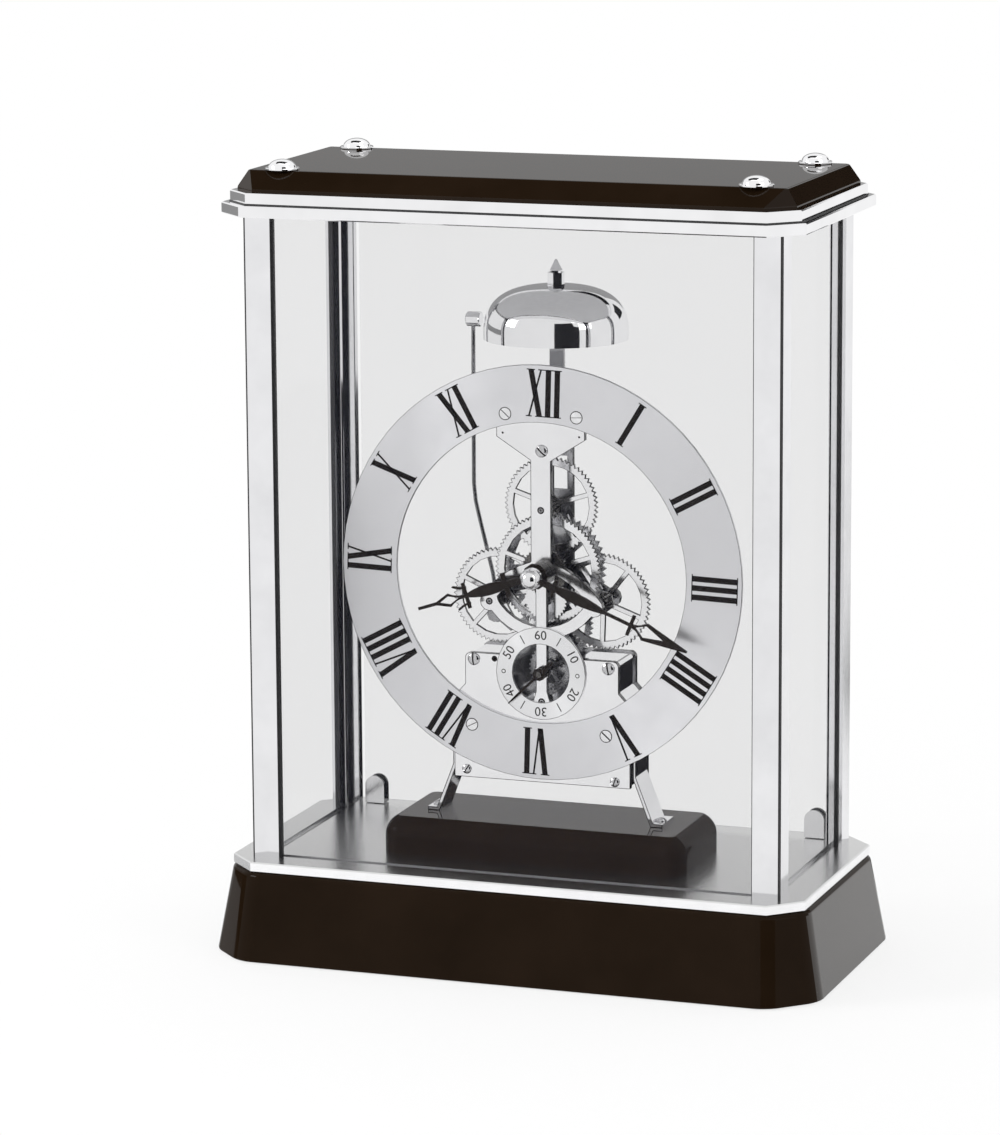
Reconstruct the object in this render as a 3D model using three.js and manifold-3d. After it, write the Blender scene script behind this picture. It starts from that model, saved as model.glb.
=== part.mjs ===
// Skeleton mantel clock in a glass case: lacquered base and top board, four polished corner posts, an
// open wheel train carried between two bridges behind a silvered chapter ring, and a bell struck by a
// hammer on a wire. Millimetres, +Z up. The dial faces -Y and X runs to the viewer's right. The origin
// is the centre of the footprint, on the surface that the clock stands on.

import * as THREE from "three";
import { mergeVertices } from "three/addons/utils/BufferGeometryUtils.js";
import loadManifold from "manifold-3d";

const wasm = await loadManifold();
wasm.setup();

// Case: heights above the table, and the outlines of its eight-sided plates
const FELT_TOP = 1.2;
const PLINTH_BOTTOM = 0.4;
const PLINTH_TOP = 29.7;
const PLATE_TOP = 33.2;
const CASE_TOP = 249.9;
const CORNICE_STEP = 3.8;
const BOARD_EDGE = 1.0;
const BOARD_TOP = 264.0;
const PLINTH_FOOT = { width: 212.2, depth: 111.9, chamfer: 13.9 };
const PLINTH_HEAD = { width: 202.0, depth: 100.1, chamfer: 10.8 };
const BASE_PLATE = { width: 200.0, depth: 98.1, chamfer: 10.1 };
const CORNICE_LOWER = { width: 199.6, depth: 101.7, chamfer: 10.2 };
const CORNICE_UPPER = { width: 195.1, depth: 95.1, chamfer: 9.0 };
const BOARD_LOWER = { width: 191.0, depth: 91.0, chamfer: 8.5 };
const BOARD_UPPER = { width: 183.9, depth: 72.7, chamfer: 0.4 };

// Corner posts: bent angles with a small rebate along the outer corner
const POST_X = 92.2;
const POST_Y = 41.2;
const POST_FACE = 9.5;
const POST_REAR_FACE = 7.6;
const POST_WALL = 2.6;
const POST_REBATE = 0.8;

// Glass panes and the grooves that they stand in
const GLASS = 2.4;
const GLASS_GAP = 0.1;
const GROOVE_DEPTH = 1.3;
const GROOVE_MARGIN = 0.3;

// Screws with domed heads that hold the top board
const TOP_SCREW_X = 81.0;
const TOP_SCREW_Y = 33.5;
const TOP_SCREW_RADIUS = 5.7;
const TOP_SCREW_HEIGHT = 3.5;
const TOP_SHANK_RADIUS = 1.8;
const SHANK_CLEARANCE = 0.25;
const TOP_SCREW_WASHER = 0.8;
const TOP_SCREW_DOME = 4.6;

// Rear door: a pane in round-topped clamps, turning on two vertical pins at its -X edge
const DOOR_FRONT = 41.6;
const DOOR_HALF_WIDTH = 83.8;
const DOOR_PIN = { x: -79.9, y: 42.8, radius: 0.9, length: 2.2, play: 0.2 };
const CLAMP = { width: 7.0, height: 9.6, front: 40.5, depth: 4.6, floor: 1.2 };
const DOOR_CLEARANCE = 0.3;

// Movement block and legs
const BLOCK = { halfWidth: 53.2, front: -23.4, back: 21.0, top: 45.5, corner: 5.0, round: 7.5, arc: 65 };
const LEG = { front: -8.2, width: 12.0, thickness: 1.2, top: 70.0, knee: 62.0, toe: 41.6, gap: 0.1 };
const LEG_FOOT_X = 37.4;
const LEG_BEND = { foot: 0.8, knee: 0.2 };

// Dial and the axes of the train, as x and z
const DIAL = new THREE.Vector2(0, 129.8);
const SECONDS = new THREE.Vector2(0, 95.9);
const RING_OUTER = 70.0;
const RING_INNER = 50.8;
const RING_FRONT = -11.3;
const RING_THICKNESS = 1.0;
const SECONDS_RING_OUTER = 15.7;
const SECONDS_RING_INNER = 10.0;
const SECONDS_RING_THICKNESS = 0.8;

// Bridges: front faces and thickness
const BRIDGE_FRONT = -10.3;
const BRIDGE_THICKNESS = 2.0;
const BACK_FRONT = 7.8;
const BACK_THICKNESS = 2.0;
const BRIDGE_BACK = BRIDGE_FRONT + BRIDGE_THICKNESS;
const BACK_BACK = BACK_FRONT + BACK_THICKNESS;

// Frame of the drive below the train: half widths, heights and the round notch for the seconds wheel
const FRAME = {
  wide: 31.0, narrow: 27.0, bottom: 58.5, flareLow: 86.2, flareHigh: 90.6, top: 101.4, round: 2.0,
};
const FRAME_NOTCH = 12.6;
const HOUSING_INSET = 0.5;
const HOUSING_WALL = 1.2;
const BATTERY = { radius: 7.0, length: 50.4, buttonRadius: 2.6, button: 1.4, y: 0.3 };
const BATTERY_DOOR = { halfWidth: 26.6, low: 60.9, high: 75.2 };
const MOTOR = { radius: 9.0, depth: 6.0, edge: 1.0, bore: 3.0 };

// Toothed wheels: tooth heights as shares of the module, leaf widths as shares of the pitch
const ADDENDUM = 0.9;
const DEDENDUM = 1.1;
const LEAF_BASE = 0.52;
const LEAF_CREST = 0.06;
const WHEEL_THICKNESS = 1.2;
const THIN_WHEEL = 1.0;
const PINION_LEAD = 0.3;

// Train: teeth counts. The three display wheels stand at one distance round the centre wheel.
const CENTRE_TEETH = 72;
const DISPLAY_PINION_TEETH = 12;
const DISPLAY_DISTANCE = 21.15;
const DISPLAY_TEETH = 60;
const DISPLAY_MODULE = 0.53;
const DRIVE_TEETH = 48;
const THIRD_PINION_TEETH = 6;
const THIRD_TEETH = 45;
const SECONDS_PINION_TEETH = 6;
const THIRD_DISTANCE = 19.8;
const SECONDS_WHEEL = { teeth: 30, module: 0.49 };
const CANNON_TEETH = 12;
const MINUTE_WHEEL_TEETH = 36;
const MINUTE_PINION_TEETH = 10;
const HOUR_TEETH = 40;
const MOTION_DISTANCE = 9.6;

// Train: where each layer starts along Y
const HOUR_LAYER = -7.6;
const MINUTE_LAYER = -5.7;
const CENTRE_LAYER = -3.4;
const DISPLAY_PINION_LAYER = -4.2;
const DISPLAY_LAYER = 0.0;
const SECONDS_LAYER = -1.2;
const DRIVE_LAYER = 3.0;
const THIRD_LAYER = 5.2;

// Arbors, pivots and running clearance
const ARBOR_RADIUS = 1.1;
const CENTRE_ARBOR_RADIUS = 1.0;
const PIVOT_RADIUS = 0.6;
const PIVOT_CLEARANCE = 0.15;
const PIVOT_END = 0.1;
const ARBOR_PLAY = 0.3;
const SEAT_GAP = 0.05;
const SECONDS_SHAFT = { front: 0.5, back: 2.6 };
const HOUR_PIPE = { inner: 1.25, outer: 2.3, collet: 3.7, gap: 0.35, play: 0.4, proud: 0.4 };
const RIBS = { count: 2, land: 0.7, slope: 0.75, depth: 0.6 };
const MINUTE_STUD = { radius: 0.7, root: 0.4, end: -4.1 };

// Hands, with the angles that they stand at, clockwise from twelve. Bars give half width, low and high.
const HAND_THICKNESS = 0.8;
const HOUR_HAND = {
  front: -16.6,
  angle: 251.9,
  hub: 4.4,
  bars: [[1.25, 0, 11.4], [4.1, 10.1, 11.7], [4.4, 25.0, 26.1], [0.6, 25.4, 28.2]],
  leaf: { from: 11.2, to: 25.6, widest: 2.4, widestAt: 17.6, startWidth: 1.3, endWidth: 0.6 },
  arrow: {
    neck: 27.2, widestAt: 31.9, end: 36.6, tip: 43.4,
    halfWidth: 2.3, endWidth: 0.55, tipWidth: 0.5, line: 0.6,
  },
  curl: { root: 2.3, reach: 1.6, rise: 4.4, at: 25.4 },
};
const MINUTE_HAND = {
  front: -19.2,
  angle: 112.0,
  hub: 3.4,
  bars: [[1.1, 0, 9.4], [2.9, 7.6, 8.7], [0.5, 27.0, 38.0], [3.6, 36.2, 37.3]],
  leaf: { from: 9.0, to: 27.6, widest: 2.3, widestAt: 16.6, startWidth: 1.1, endWidth: 0.5 },
  arrow: {
    neck: 37.2, widestAt: 41.9, end: 50.4, tip: 57.6,
    halfWidth: 3.1, endWidth: 1.6, tipWidth: 0.3, line: 0.65,
  },
};
const SECONDS_HAND = {
  front: -13.0,
  angle: 226.0,
  hub: 2.2,
  tail: { from: -6.4, to: 0, widest: 0.9, widestAt: -3.6, startWidth: 0.5, endWidth: 0.6 },
  leaf: { from: 0, to: 15.2, widest: 0.5, widestAt: 8.0, startWidth: 0.4, endWidth: 0.18 },
};
const LEAF_PULL = 1.25;
const ARROW_HOLE = { side: 1.5, end: 2.0 };
const CURL = { sink: 0.6, width: 0.75, bend: 0.55, bendUnder: 0.35, tip: 0.35, tipDrop: 0.55 };
const CAP = { radius: 3.6, tip: -24.4, bore: 1.5, band: 1.2 };

// Bell, its post and its hammer
const BELL = { y: 6.1, rim: 206.3, radius: 24.2, upright: 2.0, top: 224.3, wall: 1.0, fullness: 0.77 };
const BELL_BORE = 1.8;
const BELL_SEAT = 0.3;
const POST_STRAP = { front: 6.4, thickness: 1.4, halfWidth: 2.5, bottom: 168.5 };
const POST_STUD = { radius: 1.5, root: 3.0, top: 2.6 };
const FINIAL = { sides: 6, radius: 2.9, hexTop: 228.3, neck: 1.7, cone: 2.3, coneLow: 229.0, tip: 232.7 };
const FINIAL_EASE = { end: 0.5, length: 0.3 };
const HAMMER_PIVOT = new THREE.Vector2(-22.0, 111.5);
const HAMMER_Y = 6.2;
const HAMMER_COLLAR = { radius: 2.6, front: 4.6 };
const HAMMER_TAIL = { x: -15.8, z: 106.8, halfWidth: 1.0, thickness: 1.2 };
const HAMMER_WIRE = 0.7;
const WIRE_BEND = 5.0;
const WIRE_PATH = [[-22.0, 113.0], [-22.0, 122.0], [-29.5, 152.0], [-29.3, 212.0]];
const HAMMER_HEAD = { radius: 2.5, right: -26.5, length: 4.9, z: 211.4, edge: 0.3, nub: 0.9, stub: 0.6 };
const WIRE_SEAT = { clearance: 0.2, reach: 5.0 };

// Facets of round work
const COARSE = 8;
const MIDDLING = 12;
const MEDIUM = 16;
const BROAD = 26;
const FINE = 36;

const FULL_TURN = Math.PI * 2;
const LEAST_CORNER = 0.3;
const PAST = 1.0;

// Solids

// One closed mesh: shared vertices merged, flat slivers dropped, faces turned outward
function closed(geometry) {
  const bare = geometry.clone();
  bare.deleteAttribute("normal");
  bare.deleteAttribute("uv");
  const merged = mergeVertices(bare, 1e-4);
  const position = merged.attributes.position;
  const faces = [];
  let volume = 0;
  const corner = [new THREE.Vector3(), new THREE.Vector3(), new THREE.Vector3()];
  for (let i = 0; i < merged.index.count; i += 3) {
    const [a, b, c] = [0, 1, 2].map((k) => merged.index.getX(i + k));
    if (a === b || b === c || c === a) continue;
    faces.push(a, b, c);
    [a, b, c].forEach((vertex, k) => corner[k].fromBufferAttribute(position, vertex));
    volume += corner[0].dot(corner[1].clone().cross(corner[2]));
  }
  if (volume < 0) faces.reverse();
  const result = new THREE.BufferGeometry();
  result.setAttribute("position", position.clone());
  result.setIndex(faces);
  return result;
}

function toSolid(geometry) {
  const shell = closed(geometry);
  const mesh = new wasm.Mesh({
    numProp: 3,
    vertProperties: Float32Array.from(shell.attributes.position.array),
    triVerts: Uint32Array.from(shell.index.array),
  });
  return new wasm.Manifold(mesh);
}

function fromSolid(solid) {
  const mesh = solid.getMesh();
  const geometry = new THREE.BufferGeometry();
  geometry.setAttribute("position", new THREE.BufferAttribute(mesh.vertProperties, mesh.numProp));
  geometry.setIndex(Array.from(mesh.triVerts));
  return geometry;
}

function join(...geometries) {
  return fromSolid(geometries.map(toSolid).reduce((whole, piece) => whole.add(piece)));
}

function cut(geometry, ...cutters) {
  const blank = toSolid(geometry);
  return fromSolid(cutters.map(toSolid).reduce((whole, cutter) => whole.subtract(cutter), blank));
}

// A plate drawn in X and Z, with its front face at a given Y
function frontPlate(shape, front, thickness, curveSegments = 6) {
  const settings = { depth: thickness, bevelEnabled: false, curveSegments };
  const geometry = new THREE.ExtrudeGeometry(shape, settings);
  return geometry.rotateX(Math.PI / 2).translate(0, front + thickness, 0);
}

function levelPlate(shape, bottom, thickness) {
  const geometry = new THREE.ExtrudeGeometry(shape, { depth: thickness, bevelEnabled: false });
  return geometry.translate(0, 0, bottom);
}

function box(low, high) {
  const size = high.map((value, k) => value - low[k]);
  const middle = high.map((value, k) => (value + low[k]) / 2);
  return new THREE.BoxGeometry(...size).translate(...middle);
}

// Turned pieces: the profile lists radius and place along the axis
function turnedY(profile, segments) {
  return new THREE.LatheGeometry(profile.map(([r, along]) => new THREE.Vector2(r, along)), segments);
}

function turnedZ(profile, segments) {
  return turnedY(profile, segments).rotateX(Math.PI / 2);
}

function turnedX(profile, segments) {
  return turnedY(profile, segments).rotateZ(-Math.PI / 2);
}

function pinY(radius, from, to, segments = COARSE) {
  return turnedY([[0, from], [radius, from], [radius, to], [0, to]], segments);
}

function pinZ(radius, from, to, segments = COARSE) {
  return turnedZ([[0, from], [radius, from], [radius, to], [0, to]], segments);
}

// A convex solid through level rings, each with the same number of points
function loft(rings) {
  const count = rings[0].points.length;
  const positions = rings.flatMap(({ z, points }) => points.flatMap(({ x, y }) => [x, y, z]));
  const faces = [];
  for (let ring = 0; ring + 1 < rings.length; ring += 1) {
    for (let k = 0; k < count; k += 1) {
      const next = (k + 1) % count;
      const [a, b, c, d] = [k, next, count + next, count + k].map((vertex) => ring * count + vertex);
      faces.push(a, b, c, a, c, d);
    }
  }
  const last = (rings.length - 1) * count;
  for (let k = 1; k + 1 < count; k += 1) {
    faces.push(0, k + 1, k, last, last + k, last + k + 1);
  }
  const geometry = new THREE.BufferGeometry();
  geometry.setAttribute("position", new THREE.Float32BufferAttribute(positions, 3));
  geometry.setIndex(faces);
  return geometry;
}

// Outlines

// A rectangle with cut corners, drawn in by an inset, with each of its eight corners rounded
function octagon({ width, depth, chamfer }, inset = 0, round = 0) {
  const halfX = width / 2 - inset;
  const halfY = depth / 2 - inset;
  const leg = Math.max(chamfer - inset * (2 - Math.SQRT2), LEAST_CORNER);
  const corners = [
    [halfX - leg, -halfY], [halfX, leg - halfY], [halfX, halfY - leg], [halfX - leg, halfY],
    [leg - halfX, halfY], [-halfX, halfY - leg], [-halfX, leg - halfY], [leg - halfX, -halfY],
  ].map(([x, y]) => new THREE.Vector2(x, y));
  if (round === 0) return corners;
  return corners.flatMap((corner, k) => {
    const before = corners[(k + 7) % 8].clone().sub(corner).setLength(round).add(corner);
    const after = corners[(k + 1) % 8].clone().sub(corner).setLength(round).add(corner);
    return new THREE.QuadraticBezierCurve(before, corner, after).getPoints(2);
  });
}

function polygon(points) {
  return new THREE.Shape(points.map(([x, y]) => new THREE.Vector2(x, y)));
}

function disc(centre, radius) {
  return new THREE.Shape().absarc(centre.x, centre.y, radius, 0, FULL_TURN, false);
}

function bar(from, to, halfWidth) {
  const along = to.clone().sub(from).normalize();
  const side = new THREE.Vector2(-along.y, along.x).multiplyScalar(halfWidth);
  return new THREE.Shape([
    from.clone().sub(side), to.clone().sub(side), to.clone().add(side), from.clone().add(side),
  ]);
}

function around(centre, distance, degrees) {
  const angle = THREE.MathUtils.degToRad(degrees);
  return new THREE.Vector2(Math.cos(angle), Math.sin(angle)).multiplyScalar(distance).add(centre);
}

// Materials

function finish(color, roughness, metalness, extra = {}) {
  return new THREE.MeshStandardMaterial({ color, roughness, metalness, ...extra });
}

const lacquer = finish(0x17110c, 0.12, 0.0);
const felt = finish(0x14231a, 0.95, 0.0);
const brushed = finish(0xc9cacc, 0.38, 1.0);
const polished = finish(0xe4e5e7, 0.1, 1.0);
const silvered = finish(0xd2d3d5, 0.42, 0.9);
const blackened = finish(0x15110d, 0.45, 0.2);
const steel = finish(0x55565a, 0.25, 1.0);
const plastic = finish(0x1c1c1e, 0.5, 0.0);
const laminate = finish(0x2d5a3a, 0.55, 0.0);
const pane = finish(0xf4f7f8, 0.02, 0.0, { transparent: true, opacity: 0.12 });

const clock = new THREE.Group();

function add(name, geometry, material, place = new THREE.Vector2()) {
  const flat = closed(geometry).toNonIndexed();
  flat.computeVertexNormals();
  const mesh = new THREE.Mesh(flat, material);
  mesh.name = name;
  mesh.position.set(place.x, 0, place.y);
  clock.add(mesh);
}

// Base

const EDGE_ROUND = 1.4;
const PLATE_EASE = 0.4;

function easedSlab(outline, bottom, top) {
  return loft([
    { z: bottom, points: octagon(outline, PLATE_EASE) },
    { z: bottom + PLATE_EASE, points: octagon(outline) },
    { z: top - PLATE_EASE, points: octagon(outline) },
    { z: top, points: octagon(outline, PLATE_EASE) },
  ]);
}

const feltInset = 6;
const plinthEase = 1.6;
const plinth = loft([
  { z: PLINTH_BOTTOM, points: octagon(PLINTH_FOOT, plinthEase / 2, EDGE_ROUND) },
  { z: PLINTH_BOTTOM + plinthEase / 2, points: octagon(PLINTH_FOOT, 0, EDGE_ROUND) },
  { z: PLINTH_TOP - plinthEase, points: octagon(PLINTH_HEAD, -0.2, EDGE_ROUND) },
  { z: PLINTH_TOP - plinthEase / 3, points: octagon(PLINTH_HEAD, plinthEase / 4, EDGE_ROUND) },
  { z: PLINTH_TOP, points: octagon(PLINTH_HEAD, plinthEase, EDGE_ROUND) },
]);
const feltOutline = octagon(PLINTH_FOOT, feltInset);
const feltRecess = loft([
  { z: 0, points: octagon(PLINTH_FOOT, feltInset - GROOVE_MARGIN) },
  { z: FELT_TOP, points: octagon(PLINTH_FOOT, feltInset - GROOVE_MARGIN) },
]);
add("base_felt", loft([{ z: 0, points: feltOutline }, { z: FELT_TOP, points: feltOutline }]), felt);
add("base_plinth", cut(plinth, feltRecess), lacquer);

// Panes stand inside the posts: the front one across, the side ones behind its ends
const paneFront = GLASS_GAP + POST_WALL - POST_Y;
const paneSide = POST_X - POST_WALL - GLASS_GAP;
const sidePaneFront = paneFront + GLASS + GLASS_GAP * 2;
const sidePaneBack = POST_Y - POST_WALL - GLASS_GAP;
const paneBottom = PLATE_TOP - GROOVE_DEPTH;
const paneTop = CASE_TOP + GROOVE_DEPTH;

function grooves(bottom, top) {
  const front = box(
    [-paneSide - GROOVE_MARGIN, paneFront - GROOVE_MARGIN, bottom],
    [paneSide + GROOVE_MARGIN, paneFront + GLASS + GROOVE_MARGIN, top],
  );
  const sides = [-1, 1].map((side) => {
    const middle = side * (paneSide - GLASS / 2);
    const half = GLASS / 2 + GROOVE_MARGIN;
    return box([middle - half, paneFront, bottom], [middle + half, sidePaneBack + GROOVE_MARGIN, top]);
  });
  return [front, ...sides];
}

function doorPinHole(from, to) {
  return pinZ(DOOR_PIN.radius + PIVOT_CLEARANCE, from, to).translate(DOOR_PIN.x, DOOR_PIN.y, 0);
}

const pinReach = DOOR_PIN.length + DOOR_PIN.play;
add("base_plate", cut(
  easedSlab(BASE_PLATE, PLINTH_TOP, PLATE_TOP),
  ...grooves(paneBottom, PLATE_TOP + PAST),
  doorPinHole(PLATE_TOP - pinReach, PLATE_TOP + PAST),
), brushed);

// Corner posts

function postSection(signX, signY, faceX) {
  const points = [
    [0, POST_REBATE], [POST_REBATE, POST_REBATE], [POST_REBATE, 0], [faceX, 0], [faceX, POST_WALL],
    [POST_WALL, POST_WALL], [POST_WALL, POST_FACE], [0, POST_FACE],
  ];
  return polygon(points.map(([inX, inY]) => [signX * (POST_X - inX), signY * (POST_Y - inY)]));
}

for (const [name, signX, signY] of [
  ["post_front_left", -1, -1], ["post_front_right", 1, -1],
  ["post_back_left", -1, 1], ["post_back_right", 1, 1],
]) {
  const faceX = signY < 0 ? POST_FACE : POST_REAR_FACE;
  add(name, levelPlate(postSection(signX, signY, faceX), PLATE_TOP, CASE_TOP - PLATE_TOP), polished);
}

// Fixed panes
add("front_glass", box([-paneSide, paneFront, paneBottom], [paneSide, paneFront + GLASS, paneTop]), pane);
for (const [name, side] of [["left_glass", -1], ["right_glass", 1]]) {
  const xs = [side * paneSide, side * (paneSide - GLASS)].sort((a, b) => a - b);
  add(name, box([xs[0], sidePaneFront, paneBottom], [xs[1], sidePaneBack, paneTop]), pane);
}

// Cornices and top board
const corniceMiddle = CASE_TOP + CORNICE_STEP;
const corniceTop = corniceMiddle + CORNICE_STEP;

const screwPlaces = [
  ["top_screw_front_left", -1, -1], ["top_screw_front_right", 1, -1],
  ["top_screw_back_left", -1, 1], ["top_screw_back_right", 1, 1],
].map(([name, signX, signY]) => ({ name, x: signX * TOP_SCREW_X, y: signY * TOP_SCREW_Y }));
const shankBottom = CASE_TOP + CORNICE_STEP / 2;

function shankHoles() {
  const radius = TOP_SHANK_RADIUS + SHANK_CLEARANCE;
  const hole = pinZ(radius, shankBottom - SHANK_CLEARANCE, BOARD_TOP + PAST);
  return screwPlaces.map(({ x, y }) => hole.clone().translate(x, y, 0));
}

add("cornice_lower", cut(
  easedSlab(CORNICE_LOWER, CASE_TOP, corniceMiddle),
  ...grooves(CASE_TOP - PAST, paneTop),
  doorPinHole(CASE_TOP - PAST, CASE_TOP + pinReach),
  ...shankHoles(),
), brushed);
add("cornice_upper", cut(
  easedSlab(CORNICE_UPPER, corniceMiddle, corniceTop),
  ...shankHoles(),
), brushed);
add("top_board", cut(
  loft([
    { z: corniceTop, points: octagon(BOARD_LOWER) },
    { z: corniceTop + BOARD_EDGE, points: octagon(BOARD_LOWER) },
    { z: BOARD_TOP, points: octagon(BOARD_UPPER) },
  ]),
  ...shankHoles(),
), lacquer);

const domeBottom = BOARD_TOP + TOP_SCREW_WASHER;
const screwHead = [
  [0, shankBottom], [TOP_SHANK_RADIUS, shankBottom], [TOP_SHANK_RADIUS, BOARD_TOP],
  [TOP_SCREW_RADIUS, BOARD_TOP], [TOP_SCREW_RADIUS, domeBottom], [TOP_SCREW_DOME, domeBottom],
];
const domeSteps = 3;
for (let step = 1; step <= domeSteps; step += 1) {
  const angle = (step / domeSteps) * (Math.PI / 2);
  const rise = (TOP_SCREW_HEIGHT - TOP_SCREW_WASHER) * Math.sin(angle);
  screwHead.push([step === domeSteps ? 0 : TOP_SCREW_DOME * Math.cos(angle), domeBottom + rise]);
}
for (const { name, x, y } of screwPlaces) {
  add(name, turnedZ(screwHead, MIDDLING).translate(x, y, 0), polished);
}

// Rear door

const doorBottom = PLATE_TOP + DOOR_CLEARANCE + CLAMP.floor;
const doorTop = CASE_TOP - DOOR_CLEARANCE - CLAMP.floor;
add("rear_glass", box(
  [-DOOR_HALF_WIDTH, DOOR_FRONT, doorBottom + GLASS_GAP],
  [DOOR_HALF_WIDTH, DOOR_FRONT + GLASS, doorTop - GLASS_GAP],
), pane);

// A clamp has a floor under the pane and a round-topped cheek on each side of it
function clamp(middle, pinned) {
  const half = CLAMP.width / 2;
  const bottom = PLATE_TOP + DOOR_CLEARANCE;
  const shoulder = bottom + CLAMP.height - half;
  const outline = polygon([[middle - half, bottom], [middle + half, bottom], [middle + half, shoulder]]);
  outline.absarc(middle, shoulder, half, 0, Math.PI, false);
  const slot = box(
    [middle - half - PAST, DOOR_FRONT - GLASS_GAP, doorBottom],
    [middle + half + PAST, DOOR_FRONT + GLASS + GLASS_GAP, bottom + CLAMP.height + PAST],
  );
  const body = cut(frontPlate(outline, CLAMP.front, CLAMP.depth), slot);
  if (!pinned) return body;
  const pin = pinZ(DOOR_PIN.radius, PLATE_TOP - DOOR_PIN.length, bottom + CLAMP.floor / 2);
  return join(body, pin.translate(DOOR_PIN.x, DOOR_PIN.y, 0));
}

const caseMiddle = (PLATE_TOP + CASE_TOP) / 2;
const lowerClamp = clamp(DOOR_PIN.x, true);
const upperClamp = lowerClamp.clone().scale(1, 1, -1).translate(0, 0, caseMiddle * 2);
add("door_clamp_lower", lowerClamp, polished);
add("door_clamp_upper", upperClamp, polished);
add("door_clamp_free", clamp(-DOOR_PIN.x, false), polished);

// Movement block and legs

const blockOutline = {
  width: BLOCK.halfWidth * 2, depth: BLOCK.back - BLOCK.front, chamfer: BLOCK.corner,
};
const blockMiddle = (BLOCK.front + BLOCK.back) / 2;
const blockEase = BLOCK.corner / 3;
const blockArc = THREE.MathUtils.degToRad(BLOCK.arc);
const blockShoulder = BLOCK.top - BLOCK.round * Math.sin(blockArc);
const blockRings = [{ z: PLATE_TOP, points: octagon(blockOutline, 0, blockEase) }];
const blockSteps = 4;
for (let step = 0; step <= blockSteps; step += 1) {
  const angle = (step / blockSteps) * blockArc;
  const inset = BLOCK.round * (1 - Math.cos(angle));
  const z = blockShoulder + BLOCK.round * Math.sin(angle);
  blockRings.push({ z, points: octagon(blockOutline, inset, blockEase) });
}
add("movement_block", loft(blockRings).translate(0, blockMiddle, 0), lacquer);

// A strap bent out at the knee, with its foot flat on the block
function leg(side) {
  const wall = FRAME.wide + LEG.gap;
  const sole = BLOCK.top;
  const inner = [[wall, LEG.top], [wall, LEG.knee], [LEG_FOOT_X, sole]];
  const outer = [
    [LEG.toe, sole], [LEG.toe, sole + LEG.thickness],
    [LEG_FOOT_X + LEG.thickness * LEG_BEND.foot, sole + LEG.thickness],
    [wall + LEG.thickness, LEG.knee + LEG.thickness * LEG_BEND.knee],
    [wall + LEG.thickness, LEG.top],
  ];
  const outline = [...inner, ...outer].map(([x, z]) => [side * x, z]);
  return frontPlate(polygon(outline), LEG.front, LEG.width);
}
add("left_leg", leg(-1), polished);
add("right_leg", leg(1), polished);

// Frame of the drive

// The outline of the front plate, drawn in by an inset, with or without the notch in its top edge
function frameOutline(inset, notched) {
  const wide = FRAME.wide - inset;
  const narrow = FRAME.narrow - inset;
  const top = FRAME.top - inset;
  const round = Math.max(FRAME.round - inset, LEAST_CORNER);
  const outline = polygon([
    [-wide, FRAME.bottom + inset], [wide, FRAME.bottom + inset], [wide, FRAME.flareLow],
    [narrow, FRAME.flareHigh],
  ]);
  outline.lineTo(narrow, top - round);
  outline.absarc(narrow - round, top - round, round, 0, Math.PI / 2, false);
  if (notched) {
    const angle = Math.asin((top - SECONDS.y) / (FRAME_NOTCH + inset));
    outline.absarc(SECONDS.x, SECONDS.y, FRAME_NOTCH + inset, angle, Math.PI - angle, true);
  }
  outline.absarc(round - narrow, top - round, round, Math.PI / 2, Math.PI, false);
  outline.lineTo(-narrow, FRAME.flareHigh);
  outline.lineTo(-wide, FRAME.flareLow);
  return outline;
}

add("lower_plate", frontPlate(frameOutline(0, true), BRIDGE_FRONT, BRIDGE_THICKNESS, 8), polished);

// A shell open at the back, with a lug in front that carries the foot of the front bridge
const housingOuter = frontPlate(frameOutline(HOUSING_INSET, true), BRIDGE_BACK, BACK_FRONT - BRIDGE_BACK);
const housingInner = frontPlate(
  frameOutline(HOUSING_INSET + HOUSING_WALL, true),
  BRIDGE_BACK + HOUSING_WALL,
  BACK_FRONT - BRIDGE_BACK,
);
const lug = { halfWidth: 3.4, low: 80.0, high: 88.4, depth: 4.4 };
const lugBlock = box(
  [-lug.halfWidth, BRIDGE_BACK, lug.low],
  [lug.halfWidth, BRIDGE_BACK + lug.depth, lug.high],
);
add("drive_housing", join(cut(housingOuter, housingInner), lugBlock), steel);

const batteryFloor = FRAME.bottom + HOUSING_INSET + HOUSING_WALL;
const cellEnd = BATTERY.length / 2;
const buttonEnd = cellEnd + BATTERY.button;
const cell = turnedX([
  [0, -cellEnd], [BATTERY.radius, -cellEnd], [BATTERY.radius, cellEnd], [BATTERY.buttonRadius, cellEnd],
  [BATTERY.buttonRadius, buttonEnd], [0, buttonEnd],
], MEDIUM);
add("battery", cell.translate(0, BATTERY.y, batteryFloor + BATTERY.radius + GLASS_GAP), plastic);

const board = { inner: 15.6, outer: 24.6, low: 78.0, high: 97.0, thickness: 1.2 };
const boardFront = BRIDGE_BACK + HOUSING_WALL + GLASS_GAP;
add("circuit_board", box(
  [board.inner, boardFront, board.low],
  [board.outer, boardFront + board.thickness, board.high],
), laminate);

// Axes of the train

const upperAxis = around(DIAL, DISPLAY_DISTANCE, 90);
const leftAxis = around(DIAL, DISPLAY_DISTANCE, 210);
const rightAxis = around(DIAL, DISPLAY_DISTANCE, 330);
const thirdAxis = new THREE.Vector2(DIAL.x, DIAL.y - THIRD_DISTANCE);
const minuteWheelAxis = new THREE.Vector2(DIAL.x, DIAL.y - MOTION_DISTANCE);

function pivotHole(axis, radius = PIVOT_RADIUS) {
  return pinY(radius + PIVOT_CLEARANCE, -BACK_BACK * 2, BACK_BACK * 2).translate(axis.x, 0, axis.y);
}

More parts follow.
